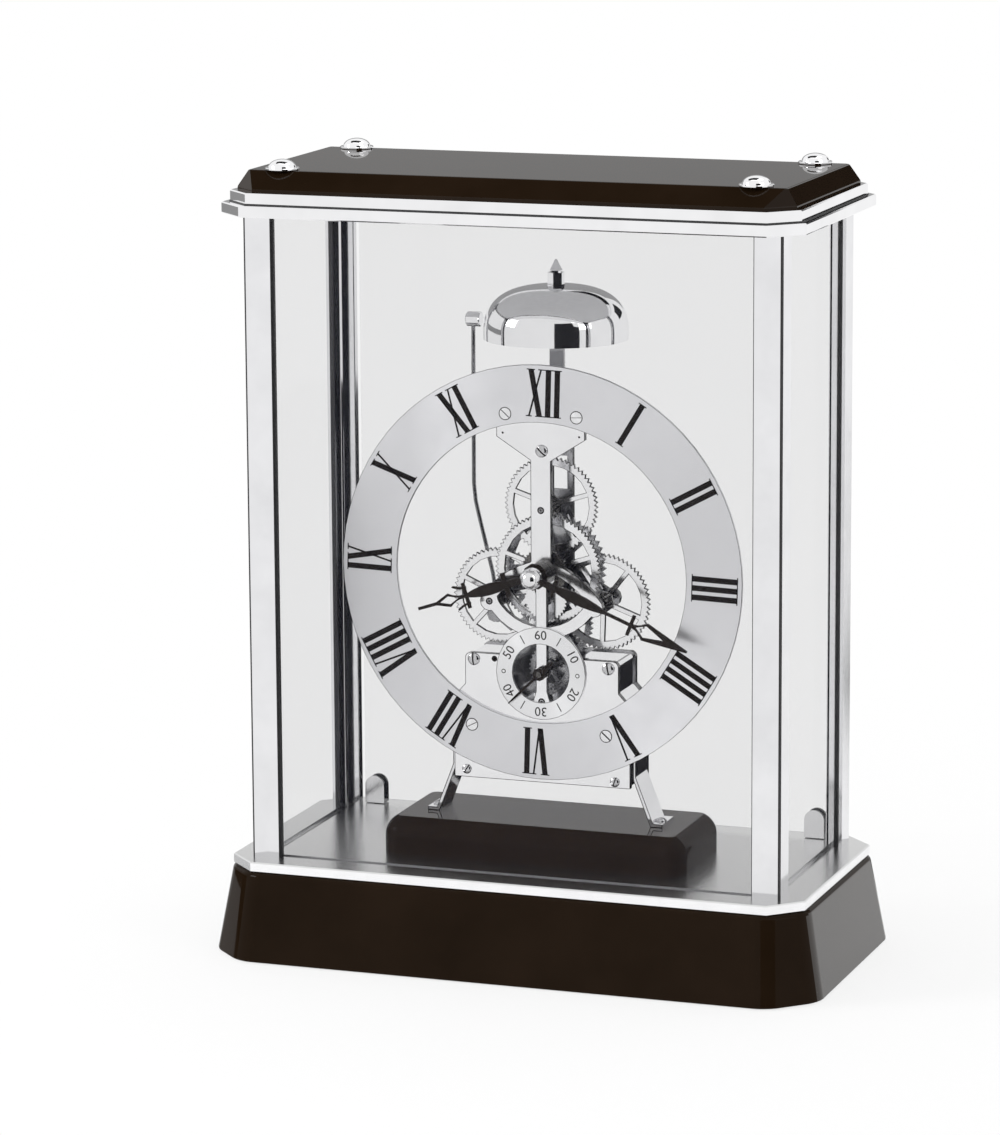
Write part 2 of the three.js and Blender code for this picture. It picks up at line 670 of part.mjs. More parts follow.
// Front bridge: a head under the dial, a wide bar to the centre, two bowed arms to the side pivots, a
// crescent that joins them, and a narrow bar down to the foot

const HEAD = { halfWidth: 15.4, top: 188.0, corner: 175.1, throat: 167.6 };
const WIDE_BAR = 3.5;
const NARROW_BAR = 1.9;
const CRESCENT = { inner: 18.3, outer: 22.3, from: 208, to: 332 };
const BOSS = 3.3;
const HUB = 5.4;
const SECONDS_BOSS = 2.7;
const FOOT = { bottom: 84.2, top: 89.6, halfWidth: 3.6 };
const ARM = {
  rootTop: 4.4, pullTop: [13.0, 2.0], endTop: [2.6, 2.0],
  rootLow: 0.6, pullLow: [11.0, -0.6], endLow: [-0.6, -1.6],
};

function bridgePlate(shape) {
  return frontPlate(shape, BRIDGE_FRONT, BRIDGE_THICKNESS);
}

const headShape = polygon([
  [-HEAD.halfWidth, HEAD.top], [-HEAD.halfWidth, HEAD.corner], [-WIDE_BAR, HEAD.throat],
  [-WIDE_BAR, DIAL.y], [WIDE_BAR, DIAL.y], [WIDE_BAR, HEAD.throat], [HEAD.halfWidth, HEAD.corner],
  [HEAD.halfWidth, HEAD.top],
]);
const footShape = polygon([
  [-NARROW_BAR, DIAL.y], [-NARROW_BAR, FOOT.top], [-FOOT.halfWidth, FOOT.bottom],
  [FOOT.halfWidth, FOOT.bottom], [NARROW_BAR, FOOT.top], [NARROW_BAR, DIAL.y],
]);

function crescentShape() {
  const from = THREE.MathUtils.degToRad(CRESCENT.from);
  const to = THREE.MathUtils.degToRad(CRESCENT.to);
  const shape = new THREE.Shape();
  shape.absarc(DIAL.x, DIAL.y, CRESCENT.outer, from, to, false);
  shape.absarc(DIAL.x, DIAL.y, CRESCENT.inner, to, from, true);
  return shape;
}

// One arm: both edges bow upward on their way from the hub to the side boss
function armShape(axis) {
  const side = Math.sign(axis.x);
  const shape = new THREE.Shape();
  const bow = ([out, up]) => [side * out, DIAL.y + up];
  const end = ([out, up]) => [axis.x + side * out, axis.y + up];
  shape.moveTo(DIAL.x, DIAL.y + ARM.rootTop);
  shape.quadraticCurveTo(...bow(ARM.pullTop), ...end(ARM.endTop));
  shape.lineTo(...end(ARM.endLow));
  shape.quadraticCurveTo(...bow(ARM.pullLow), DIAL.x, DIAL.y + ARM.rootLow);
  return shape;
}

const bridgeShapes = [headShape, footShape, crescentShape(), armShape(leftAxis), armShape(rightAxis)];
const bosses = [disc(DIAL, HUB), disc(leftAxis, BOSS), disc(rightAxis, BOSS), disc(SECONDS, SECONDS_BOSS)];
const bridgeBlank = join(...bridgeShapes.map(bridgePlate), ...bosses.map(bridgePlate));
const minuteStud = pinY(MINUTE_STUD.radius, BRIDGE_BACK - MINUTE_STUD.root, MINUTE_STUD.end);
const pipeHole = disc(DIAL, HOUR_PIPE.outer + HOUR_PIPE.gap);
add("front_bridge", join(cut(
  bridgeBlank,
  ...[upperAxis, leftAxis, rightAxis, thirdAxis].map((axis) => pivotHole(axis)),
  pivotHole(SECONDS, CENTRE_ARBOR_RADIUS),
  frontPlate(pipeHole, BRIDGE_FRONT - PAST, BRIDGE_THICKNESS + PAST * 2, MIDDLING),
), minuteStud.translate(minuteWheelAxis.x, 0, minuteWheelAxis.y)), polished);

// Back plate: closes the housing, carries the rear pivots and the bell post, and has an opening for the
// battery

const STRAP = { halfWidth: 5.0, root: 4.0, top: 178.0 };
const STRAP_SLOT = { halfWidth: 3.1, low: 155.0, high: 166.5 };
const BACK_ARM = 2.1;
const backPieces = [
  frameOutline(0, false),
  polygon([
    [-STRAP.halfWidth, FRAME.top - STRAP.root], [STRAP.halfWidth, FRAME.top - STRAP.root],
    [STRAP.halfWidth, STRAP.top], [-STRAP.halfWidth, STRAP.top],
  ]),
  bar(DIAL, leftAxis, BACK_ARM),
  bar(DIAL, rightAxis, BACK_ARM),
  bar(leftAxis, HAMMER_PIVOT, BACK_ARM),
  disc(leftAxis, BOSS),
  disc(rightAxis, BOSS),
  disc(HAMMER_PIVOT, BOSS),
].map((shape) => frontPlate(shape, BACK_FRONT, BACK_THICKNESS));
add("back_plate", cut(
  join(...backPieces),
  box(
    [-BATTERY_DOOR.halfWidth, BACK_FRONT - PAST, BATTERY_DOOR.low],
    [BATTERY_DOOR.halfWidth, BACK_BACK + PAST, BATTERY_DOOR.high],
  ),
  box(
    [-STRAP_SLOT.halfWidth, BACK_FRONT - PAST, STRAP_SLOT.low],
    [STRAP_SLOT.halfWidth, BACK_BACK + PAST, STRAP_SLOT.high],
  ),
  ...[DIAL, upperAxis, leftAxis, rightAxis, thirdAxis, HAMMER_PIVOT].map((axis) => pivotHole(axis)),
  pivotHole(SECONDS, CENTRE_ARBOR_RADIUS),
), polished);

const motorBore = CENTRE_ARBOR_RADIUS + PIVOT_CLEARANCE;
const motorBack = BACK_BACK + MOTOR.depth;
add("drive_motor", turnedY([
  [0, motorBack], [MOTOR.radius - MOTOR.edge, motorBack], [MOTOR.radius, motorBack - MOTOR.edge],
  [MOTOR.radius, BACK_BACK], [motorBore, BACK_BACK], [motorBore, BACK_BACK + MOTOR.bore],
  [0, BACK_BACK + MOTOR.bore],
], MEDIUM), plastic, SECONDS);

// Dial rings

function flatRing(outer, inner) {
  const shape = disc(new THREE.Vector2(), outer);
  shape.holes.push(new THREE.Path().absarc(0, 0, inner, 0, FULL_TURN, true));
  return shape;
}

const chapterRing = frontPlate(flatRing(RING_OUTER, RING_INNER), RING_FRONT, RING_THICKNESS, FINE);
add("chapter_ring", chapterRing, silvered, DIAL);
const secondsRing = frontPlate(
  flatRing(SECONDS_RING_OUTER, SECONDS_RING_INNER),
  BRIDGE_FRONT - SECONDS_RING_THICKNESS,
  SECONDS_RING_THICKNESS,
  MEDIUM,
);
add("seconds_ring", secondsRing, silvered, SECONDS);

// Toothed wheels

// A row of teeth: each corner of a tooth has a radius and a share of the pitch from the tooth's middle
function toothRow(teeth, toothAngle, corners) {
  const points = [];
  for (let k = 0; k < teeth; k += 1) {
    for (const [radius, share] of corners) {
      const angle = toothAngle + ((k + share) * FULL_TURN) / teeth;
      points.push([radius * Math.cos(angle), radius * Math.sin(angle)]);
    }
  }
  return polygon(points);
}

// Wheel teeth have straight flanks that meet in a point and in a sharp root
function wheelOutline(teeth, module, toothAngle) {
  const pitchRadius = (teeth * module) / 2;
  return toothRow(teeth, toothAngle, [
    [pitchRadius - DEDENDUM * module, -0.5], [pitchRadius + ADDENDUM * module, 0],
  ]);
}

// Pinion leaves are narrower, with flat crests and open roots
function pinionOutline(teeth, module, toothAngle) {
  const pitchRadius = (teeth * module) / 2;
  const root = pitchRadius - DEDENDUM * module;
  const tip = pitchRadius + ADDENDUM * module;
  return toothRow(teeth, toothAngle, [
    [root, -LEAF_BASE / 2], [tip, -LEAF_CREST / 2], [tip, LEAF_CREST / 2], [root, LEAF_BASE / 2],
  ]);
}

// The tooth angle that sets a second wheel in mesh with a first one
function meshingAngle(firstTeeth, firstAngle, secondTeeth, direction) {
  const share = (direction - firstAngle) / (FULL_TURN / firstTeeth);
  return direction + Math.PI - (0.5 - share) * (FULL_TURN / secondTeeth);
}

function directionTo(from, to) {
  return Math.atan2(to.y - from.y, to.x - from.x);
}

// Straight spokes: the windows between them, as holes in the wheel's outline
function crossOut(shape, { hub, rim, spoke, count, angle }) {
  const inner = Math.asin(spoke / hub);
  const outer = Math.asin(spoke / rim);
  for (let k = 0; k < count; k += 1) {
    const from = angle + (k * FULL_TURN) / count;
    const to = from + FULL_TURN / count;
    const window = new THREE.Path();
    window.absarc(0, 0, rim, from + outer, to - outer, false);
    window.lineTo(hub * Math.cos(to - inner), hub * Math.sin(to - inner));
    window.lineTo(hub * Math.cos(from + inner), hub * Math.sin(from + inner));
    shape.holes.push(window);
  }
  return shape;
}

function bored(shape, radius) {
  const bore = Array.from({ length: COARSE }, (_, k) => {
    const angle = -(k * FULL_TURN) / COARSE;
    return new THREE.Vector2(radius * Math.sin(angle), radius * Math.cos(angle));
  });
  shape.holes.push(new THREE.Path(bore));
  return shape;
}

function wheel(shape, layer, thickness = WHEEL_THICKNESS) {
  return frontPlate(shape, layer, thickness, 2);
}

const centreModule = (2 * DISPLAY_DISTANCE) / (CENTRE_TEETH + DISPLAY_PINION_TEETH);
const driveModule = (2 * THIRD_DISTANCE) / (DRIVE_TEETH + THIRD_PINION_TEETH);
const thirdModule = (2 * (thirdAxis.y - SECONDS.y)) / (THIRD_TEETH + SECONDS_PINION_TEETH);
const cannonModule = (2 * MOTION_DISTANCE) / (CANNON_TEETH + MINUTE_WHEEL_TEETH);
const hourModule = (2 * MOTION_DISTANCE) / (MINUTE_PINION_TEETH + HOUR_TEETH);
const upward = Math.PI / 2;
const wheelBore = CENTRE_ARBOR_RADIUS + SEAT_GAP;

// Centre arbor with its cannon pinion, turning once an hour
const cannonLength = 1.2;
const colletRadius = 2.6;
const colletLength = 1.0;
const centreArbor = turnedY([
  [0, BACK_BACK - PIVOT_END], [PIVOT_RADIUS, BACK_BACK - PIVOT_END],
  [PIVOT_RADIUS, BACK_FRONT - ARBOR_PLAY], [CENTRE_ARBOR_RADIUS, BACK_FRONT - ARBOR_PLAY],
  [CENTRE_ARBOR_RADIUS, DRIVE_LAYER + WHEEL_THICKNESS + colletLength],
  [colletRadius, DRIVE_LAYER + WHEEL_THICKNESS + colletLength],
  [colletRadius, DRIVE_LAYER + WHEEL_THICKNESS + SEAT_GAP],
  [CENTRE_ARBOR_RADIUS, DRIVE_LAYER + WHEEL_THICKNESS + SEAT_GAP],
  [CENTRE_ARBOR_RADIUS, CENTRE_LAYER + WHEEL_THICKNESS + colletLength],
  [colletRadius, CENTRE_LAYER + WHEEL_THICKNESS + colletLength],
  [colletRadius, CENTRE_LAYER + WHEEL_THICKNESS + SEAT_GAP],
  [CENTRE_ARBOR_RADIUS, CENTRE_LAYER + WHEEL_THICKNESS + SEAT_GAP],
  [CENTRE_ARBOR_RADIUS, CAP.tip + CAP.bore + PIVOT_END], [0, CAP.tip + CAP.bore + PIVOT_END],
], COARSE);
const cannonOutline = pinionOutline(CANNON_TEETH, cannonModule, upward);
const cannonPinion = frontPlate(cannonOutline, MINUTE_LAYER, cannonLength);
add("centre_arbor", join(centreArbor, cannonPinion), steel, DIAL);

const centreWheel = crossOut(
  wheelOutline(CENTRE_TEETH, centreModule, upward),
  { hub: 4.0, rim: 15.4, spoke: 0.8, count: 5, angle: upward },
);
add("centre_wheel", wheel(bored(centreWheel, wheelBore), CENTRE_LAYER), polished, DIAL);
const driveWheel = crossOut(
  wheelOutline(DRIVE_TEETH, driveModule, upward),
  { hub: 4.0, rim: 14.6, spoke: 0.8, count: 5, angle: upward + 0.4 },
);
add("drive_wheel", wheel(bored(driveWheel, wheelBore), DRIVE_LAYER), steel, DIAL);

// Display wheels: each pinion is cut on its arbor and meshes with the centre wheel
const displayPinionLength = DISPLAY_LAYER - DISPLAY_PINION_LAYER - SEAT_GAP;

// A plain arbor with a pivot at each end
function arbor() {
  const [back, front] = [BACK_BACK - PIVOT_END, BRIDGE_FRONT + PIVOT_END];
  const [rearShoulder, foreShoulder] = [BACK_FRONT - ARBOR_PLAY, BRIDGE_BACK + ARBOR_PLAY];
  return turnedY([
    [0, back], [PIVOT_RADIUS, back], [PIVOT_RADIUS, rearShoulder], [ARBOR_RADIUS, rearShoulder],
    [ARBOR_RADIUS, foreShoulder], [PIVOT_RADIUS, foreShoulder], [PIVOT_RADIUS, front], [0, front],
  ], COARSE);
}

const displayWheels = [
  { name: "upper", axis: upperAxis, spokeAngle: 90 },
  { name: "left", axis: leftAxis, spokeAngle: 156 },
  { name: "right", axis: rightAxis, spokeAngle: 52 },
];
for (const { name, axis, spokeAngle } of displayWheels) {
  const angle = meshingAngle(CENTRE_TEETH, upward, DISPLAY_PINION_TEETH, directionTo(DIAL, axis));
  const pinion = frontPlate(
    pinionOutline(DISPLAY_PINION_TEETH, centreModule, angle),
    DISPLAY_PINION_LAYER,
    displayPinionLength,
  );
  add(`${name}_arbor`, join(arbor(), pinion), steel, axis);
  const spokes = { hub: 3.6, rim: 13.4, spoke: 0.8, count: 5 };
  spokes.angle = THREE.MathUtils.degToRad(spokeAngle);
  const outline = crossOut(wheelOutline(DISPLAY_TEETH, DISPLAY_MODULE, upward), spokes);
  add(`${name}_wheel`, wheel(bored(outline, ARBOR_RADIUS + SEAT_GAP), DISPLAY_LAYER), polished, axis);
}

// Third arbor, between the seconds arbor and the drive wheel
const pinionLength = 1.8;
const thirdDirection = directionTo(DIAL, thirdAxis);
const thirdPinionAngle = meshingAngle(DRIVE_TEETH, upward, THIRD_PINION_TEETH, thirdDirection);
const thirdPinion = frontPlate(
  pinionOutline(THIRD_PINION_TEETH, driveModule, thirdPinionAngle),
  DRIVE_LAYER - PINION_LEAD,
  pinionLength,
);
add("third_arbor", join(arbor(), thirdPinion), steel, thirdAxis);
const thirdWheel = crossOut(
  wheelOutline(THIRD_TEETH, thirdModule, upward),
  { hub: 3.2, rim: 10.2, spoke: 0.7, count: 5, angle: upward },
);
const thirdBlank = bored(thirdWheel, ARBOR_RADIUS + SEAT_GAP);
add("third_wheel", wheel(thirdBlank, THIRD_LAYER, THIN_WHEEL), steel, thirdAxis);

// Seconds arbor: runs from the motor through both bridges to the seconds hand
const secondsRadius = CENTRE_ARBOR_RADIUS;
const secondsDirection = directionTo(thirdAxis, SECONDS);
const secondsPinionAngle = meshingAngle(THIRD_TEETH, upward, SECONDS_PINION_TEETH, secondsDirection);
const secondsPinion = frontPlate(
  pinionOutline(SECONDS_PINION_TEETH, thirdModule, secondsPinionAngle),
  THIRD_LAYER - PINION_LEAD,
  pinionLength,
);
const secondsShaft = pinY(
  secondsRadius,
  SECONDS_HAND.front - SECONDS_SHAFT.front,
  BACK_BACK + SECONDS_SHAFT.back,
);
add("seconds_arbor", join(secondsShaft, secondsPinion), steel, SECONDS);
const secondsWheel = crossOut(
  wheelOutline(SECONDS_WHEEL.teeth, SECONDS_WHEEL.module, upward),
  { hub: 2.6, rim: 5.4, spoke: 0.6, count: 4, angle: 0.5 },
);
add("seconds_wheel", wheel(bored(secondsWheel, secondsRadius + SEAT_GAP), SECONDS_LAYER), steel, SECONDS);

// Motion work: the minute wheel and its pinion turn on the bridge's stud and slow the hour wheel
const minuteDirection = directionTo(DIAL, minuteWheelAxis);
const minuteWheelAngle = meshingAngle(CANNON_TEETH, upward, MINUTE_WHEEL_TEETH, minuteDirection);
const minutePinionLength = MINUTE_LAYER - HOUR_LAYER + SEAT_GAP * 2;
const minuteBore = MINUTE_STUD.radius + PIVOT_CLEARANCE;
add("minute_wheel", cut(
  join(
    wheel(wheelOutline(MINUTE_WHEEL_TEETH, cannonModule, minuteWheelAngle), MINUTE_LAYER),
    frontPlate(pinionOutline(MINUTE_PINION_TEETH, hourModule, upward), HOUR_LAYER, minutePinionLength),
  ),
  pinY(minuteBore, HOUR_LAYER - PAST, 0),
), polished, minuteWheelAxis);

const hourDirection = directionTo(minuteWheelAxis, DIAL);
const hourWheelAngle = meshingAngle(MINUTE_PINION_TEETH, upward, HOUR_TEETH, hourDirection);
const hourWheelBack = HOUR_LAYER + THIN_WHEEL;
const colletFront = HOUR_HAND.front + HAND_THICKNESS + SEAT_GAP;
const colletBack = BRIDGE_FRONT - HOUR_PIPE.play;
const ribPitch = (colletBack - colletFront) / RIBS.count;
const ribRoot = HOUR_PIPE.collet - RIBS.depth;
const pipeProfile = [
  [HOUR_PIPE.inner, hourWheelBack], [HOUR_PIPE.outer, hourWheelBack], [HOUR_PIPE.outer, colletBack],
];
for (let rib = 0; rib < RIBS.count; rib += 1) {
  const start = colletBack - rib * ribPitch;
  pipeProfile.push(
    [HOUR_PIPE.collet, start], [HOUR_PIPE.collet, start - ribPitch * RIBS.land],
    [ribRoot, start - ribPitch * RIBS.slope], [ribRoot, start - ribPitch],
  );
}
const pipeFront = HOUR_HAND.front - HOUR_PIPE.proud;
pipeProfile.push([HOUR_PIPE.outer, colletFront], [HOUR_PIPE.outer, pipeFront]);
pipeProfile.push([HOUR_PIPE.inner, pipeFront], [HOUR_PIPE.inner, hourWheelBack]);
const hourDisc = cut(
  wheel(wheelOutline(HOUR_TEETH, hourModule, hourWheelAngle), HOUR_LAYER, THIN_WHEEL),
  pinY(HOUR_PIPE.inner, HOUR_LAYER - PAST, hourWheelBack + PAST, MIDDLING),
);
add("hour_wheel", join(hourDisc, turnedY(pipeProfile, MIDDLING)), steel, DIAL);

// Hands: drawn pointing up, then turned clockwise to their hour

function handPlate(shape, front) {
  return frontPlate(shape, front, HAND_THICKNESS, 5);
}

function leaf({ from, to, widest, widestAt, startWidth, endWidth }) {
  const shape = new THREE.Shape();
  shape.moveTo(startWidth, from);
  shape.quadraticCurveTo(widest * LEAF_PULL, widestAt, endWidth, to);
  shape.lineTo(-endWidth, to);
  shape.quadraticCurveTo(-widest * LEAF_PULL, widestAt, -startWidth, from);
  return shape;
}

function handBar([halfWidth, low, high]) {
  return polygon([[-halfWidth, low], [halfWidth, low], [halfWidth, high], [-halfWidth, high]]);
}

// A curl that leaves the cross bar and bends forward and out
function curl(side, { root, reach, rise, at }) {
  const inner = side * root;
  const outer = side * (root + CURL.width);
  const tip = side * (root + reach);
  const shape = new THREE.Shape();
  shape.moveTo(inner, at - CURL.sink);
  shape.quadraticCurveTo(inner, at + rise * CURL.bend, tip, at + rise);
  shape.lineTo(tip + side * CURL.tip, at + rise - CURL.tipDrop);
  shape.quadraticCurveTo(outer, at + rise * CURL.bendUnder, outer, at - CURL.sink);
  return shape;
}

// A pierced arrow head: an open lozenge that runs out into a point
function arrow({ neck, widestAt, end, tip, halfWidth, line, endWidth, tipWidth }) {
  const outline = new THREE.Shape();
  const flank = [line, (neck + widestAt) / 2];
  outline.moveTo(line, neck);
  outline.quadraticCurveTo(...flank, halfWidth, widestAt);
  outline.lineTo(endWidth, end);
  outline.lineTo(tipWidth, tip);
  outline.lineTo(-tipWidth, tip);
  outline.lineTo(-endWidth, end);
  outline.lineTo(-halfWidth, widestAt);
  outline.quadraticCurveTo(-flank[0], flank[1], -line, neck);
  const holeWidth = halfWidth - line * ARROW_HOLE.side;
  const [low, high] = [neck + line * ARROW_HOLE.end, end - line * ARROW_HOLE.end];
  const hole = [[0, low], [-holeWidth, widestAt], [0, high], [holeWidth, widestAt]];
  outline.holes.push(new THREE.Path(hole.map(([x, y]) => new THREE.Vector2(x, y))));
  return outline;
}

const origin = new THREE.Vector2();

function hand({ front, angle, hub }, shapes, boreRadius) {
  const plates = [disc(origin, hub), ...shapes].map((shape) => handPlate(shape, front));
  const bore = pinY(boreRadius, front - PAST, front + HAND_THICKNESS + PAST, MEDIUM);
  return cut(join(...plates), bore).rotateY(THREE.MathUtils.degToRad(angle));
}

const hourShapes = [...HOUR_HAND.bars.map(handBar), leaf(HOUR_HAND.leaf), arrow(HOUR_HAND.arrow)];
hourShapes.push(curl(-1, HOUR_HAND.curl), curl(1, HOUR_HAND.curl));
add("hour_hand", hand(HOUR_HAND, hourShapes, HOUR_PIPE.outer + SEAT_GAP), blackened, DIAL);
const minuteShapes = [...MINUTE_HAND.bars.map(handBar), leaf(MINUTE_HAND.leaf), arrow(MINUTE_HAND.arrow)];
add("minute_hand", hand(MINUTE_HAND, minuteShapes, CENTRE_ARBOR_RADIUS + SEAT_GAP), blackened, DIAL);
const secondsShapes = [leaf(SECONDS_HAND.tail), leaf(SECONDS_HAND.leaf)];
add("seconds_hand", hand(SECONDS_HAND, secondsShapes, secondsRadius + SEAT_GAP), blackened, SECONDS);

const capBase = MINUTE_HAND.front - SEAT_GAP;
const capBore = CENTRE_ARBOR_RADIUS + SEAT_GAP;
const capFloor = CAP.tip + CAP.bore;
const capBand = capBase - CAP.band;
const capProfile = [[0, capFloor], [capBore, capFloor], [capBore, capBase], [CAP.radius, capBase]];
const capSteps = 4;
for (let step = 0; step <= capSteps; step += 1) {
  const angle = (step / capSteps) * (Math.PI / 2);
  const along = capBand - (capBand - CAP.tip) * Math.sin(angle);
  capProfile.push([step === capSteps ? 0 : CAP.radius * Math.cos(angle), along]);
}
add("hand_cap", turnedY(capProfile, MEDIUM), polished, DIAL);

// Bell, its post and its finial

const bellUnder = BELL.top - BELL.wall;
const bellInside = BELL.radius - BELL.wall;
const domeRise = BELL.top - BELL.rim - BELL.upright;
const bellSteps = 5;

// The bell's section: a short upright rim that rolls over into a full, flattened dome
function bellSide(radius, top) {
  const points = [[radius, BELL.rim]];
  for (let step = 0; step <= bellSteps; step += 1) {
    const angle = (step / bellSteps) * (Math.PI / 2);
    const out = radius * Math.cos(angle) ** BELL.fullness;
    const up = domeRise * Math.sin(angle) ** BELL.fullness;
    points.push([Math.max(out, BELL_BORE), top - domeRise + up]);
  }
  return points;
}
const bellOuter = bellSide(BELL.radius, BELL.top);
const bellProfile = [...bellOuter, ...bellSide(bellInside, bellUnder).reverse(), bellOuter[0]];
add("bell", turnedZ(bellProfile, BROAD).translate(0, BELL.y, 0), polished);

// The strap's square top stays just under the dome, and its stud goes up through the bell
const studTop = BELL.top + POST_STUD.top;
const strapTop = bellUnder - BELL_SEAT;
add("bell_post", join(
  box(
    [-POST_STRAP.halfWidth, POST_STRAP.front, POST_STRAP.bottom],
    [POST_STRAP.halfWidth, POST_STRAP.front + POST_STRAP.thickness, strapTop],
  ),
  pinZ(POST_STUD.radius, strapTop - POST_STUD.root, studTop).translate(0, BELL.y, 0),
), polished);

const hexNut = pinZ(FINIAL.radius, BELL.top + SEAT_GAP, FINIAL.hexTop, FINIAL.sides);
const neckFoot = FINIAL.hexTop - FINIAL_EASE.length;
const finialCone = turnedZ([
  [0, neckFoot], [FINIAL.neck, neckFoot], [FINIAL.neck, FINIAL.coneLow], [FINIAL.cone, FINIAL.coneLow],
  [FINIAL_EASE.end, FINIAL.tip - FINIAL_EASE.length], [0, FINIAL.tip],
], COARSE);
const finialBore = pinZ(BELL_BORE, BELL.top - PAST, studTop + FINIAL_EASE.length);
add("bell_finial", cut(join(hexNut, finialCone), finialBore).translate(0, BELL.y, 0), polished);

// Hammer: a collar on a pivot in the back plate, a lifting tail, a wire bent clear of the train, and a head

const wireRoute = new THREE.CurvePath();
const wirePoints = WIRE_PATH.map(([x, z]) => new THREE.Vector3(x, HAMMER_Y, z));
let wireFrom = wirePoints[0];
for (let k = 1; k + 1 < wirePoints.length; k += 1) {
  const corner = wirePoints[k];
  const enter = wirePoints[k - 1].clone().sub(corner).setLength(WIRE_BEND).add(corner);
  const leave = wirePoints[k + 1].clone().sub(corner).setLength(WIRE_BEND).add(corner);
  wireRoute.add(new THREE.LineCurve3(wireFrom, enter));
  wireRoute.add(new THREE.QuadraticBezierCurve3(enter, corner, leave));
  wireFrom = leave;
}
const wireEnd = wirePoints.at(-1);
wireRoute.add(new THREE.LineCurve3(wireFrom, wireEnd));
const wire = new THREE.ExtrudeGeometry(disc(origin, HAMMER_WIRE), {
  steps: MEDIUM, extrudePath: wireRoute, curveSegments: 3,
});
const hammerPivot = turnedY([
  [0, BACK_BACK - PIVOT_END], [PIVOT_RADIUS, BACK_BACK - PIVOT_END],
  [PIVOT_RADIUS, BACK_FRONT - ARBOR_PLAY], [HAMMER_COLLAR.radius, BACK_FRONT - ARBOR_PLAY],
  [HAMMER_COLLAR.radius, HAMMER_COLLAR.front], [0, HAMMER_COLLAR.front],
], COARSE).translate(HAMMER_PIVOT.x, 0, HAMMER_PIVOT.y);
const tailEnd = new THREE.Vector2(HAMMER_TAIL.x, HAMMER_TAIL.z);
const tail = frontPlate(
  bar(HAMMER_PIVOT, tailEnd, HAMMER_TAIL.halfWidth),
  HAMMER_Y - HAMMER_TAIL.thickness / 2,
  HAMMER_TAIL.thickness,
);
add("hammer_lever", join(hammerPivot, tail, wire), steel);

const headLeft = HAMMER_HEAD.right - HAMMER_HEAD.length;
const headFace = HAMMER_HEAD.radius - HAMMER_HEAD.edge;
const head = turnedX([
  [0, headLeft - HAMMER_HEAD.stub], [HAMMER_HEAD.nub, headLeft - HAMMER_HEAD.stub],
  [HAMMER_HEAD.nub, headLeft], [headFace, headLeft],
  [HAMMER_HEAD.radius, headLeft + HAMMER_HEAD.edge],
  [HAMMER_HEAD.radius, HAMMER_HEAD.right - HAMMER_HEAD.edge],
  [headFace, HAMMER_HEAD.right], [0, HAMMER_HEAD.right],
], MIDDLING);
const wireSeat = pinZ(
  HAMMER_WIRE + WIRE_SEAT.clearance,
  HAMMER_HEAD.z - WIRE_SEAT.reach,
  wireEnd.z + WIRE_SEAT.clearance,
);
add("hammer_head", cut(
  head.translate(0, HAMMER_Y, HAMMER_HEAD.z),
  wireSeat.translate(wireEnd.x, HAMMER_Y, 0),
), polished);

export default clock;
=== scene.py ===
import math

import bmesh
import bpy
from mathutils import Matrix, Vector


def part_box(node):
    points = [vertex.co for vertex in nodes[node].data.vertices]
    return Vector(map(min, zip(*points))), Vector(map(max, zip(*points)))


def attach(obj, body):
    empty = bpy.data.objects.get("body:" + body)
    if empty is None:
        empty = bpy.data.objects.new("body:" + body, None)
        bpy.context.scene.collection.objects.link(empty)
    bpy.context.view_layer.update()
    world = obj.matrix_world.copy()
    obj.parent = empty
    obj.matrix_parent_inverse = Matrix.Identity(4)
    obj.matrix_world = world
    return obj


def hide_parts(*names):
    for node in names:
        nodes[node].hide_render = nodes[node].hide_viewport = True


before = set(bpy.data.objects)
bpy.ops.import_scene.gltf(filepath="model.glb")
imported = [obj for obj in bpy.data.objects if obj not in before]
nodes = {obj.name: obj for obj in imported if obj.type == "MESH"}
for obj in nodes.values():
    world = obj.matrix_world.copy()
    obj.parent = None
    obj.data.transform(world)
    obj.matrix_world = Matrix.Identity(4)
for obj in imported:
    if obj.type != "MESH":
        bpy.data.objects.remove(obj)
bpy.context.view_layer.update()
scene = bpy.context.scene

# Places on the clock, in millimetres
MM = 0.001
MERGE = 0.0005
DIAL = Vector((0.0, -11.3, 129.8))
SECONDS = Vector((0.0, -11.1, 95.9))
PLATE_FACE = -10.3

UP = (0, 0, 1)
FORWARD = (0, -1, 0)
SIDEWAYS = (1, 0, 0)
UPRIGHT = Matrix.Rotation(math.radians(90), 4, "X")


# Materials

EVEN = (1.0, 1.0, 1.0)
NOISE_DETAIL = 3.0
NOISE_ROUGHNESS = 0.55
NOISE_LOW = 0.3
NOISE_HIGH = 0.7
CLOUD_SCALE = 60.0
BRUSH_DEPTH = 0.00004
SPECK_DEPTH = 0.0002
LACQUER_TONES = (0.012, 0.0065, 0.003), (0.017, 0.0095, 0.005)
PANE_TONES = (0.03, 0.03, 0.05), (0.05, 0.05, 0.07)


def grey(level, blue=0.01):
    """A grey with a trace of blue."""
    return level, level, level + blue


def new_finish(name):
    """A new material, with its node tree and its shader."""
    finish = bpy.data.materials.new(name)
    finish.use_nodes = True
    tree = finish.node_tree
    return finish, tree, tree.nodes["Principled BSDF"]


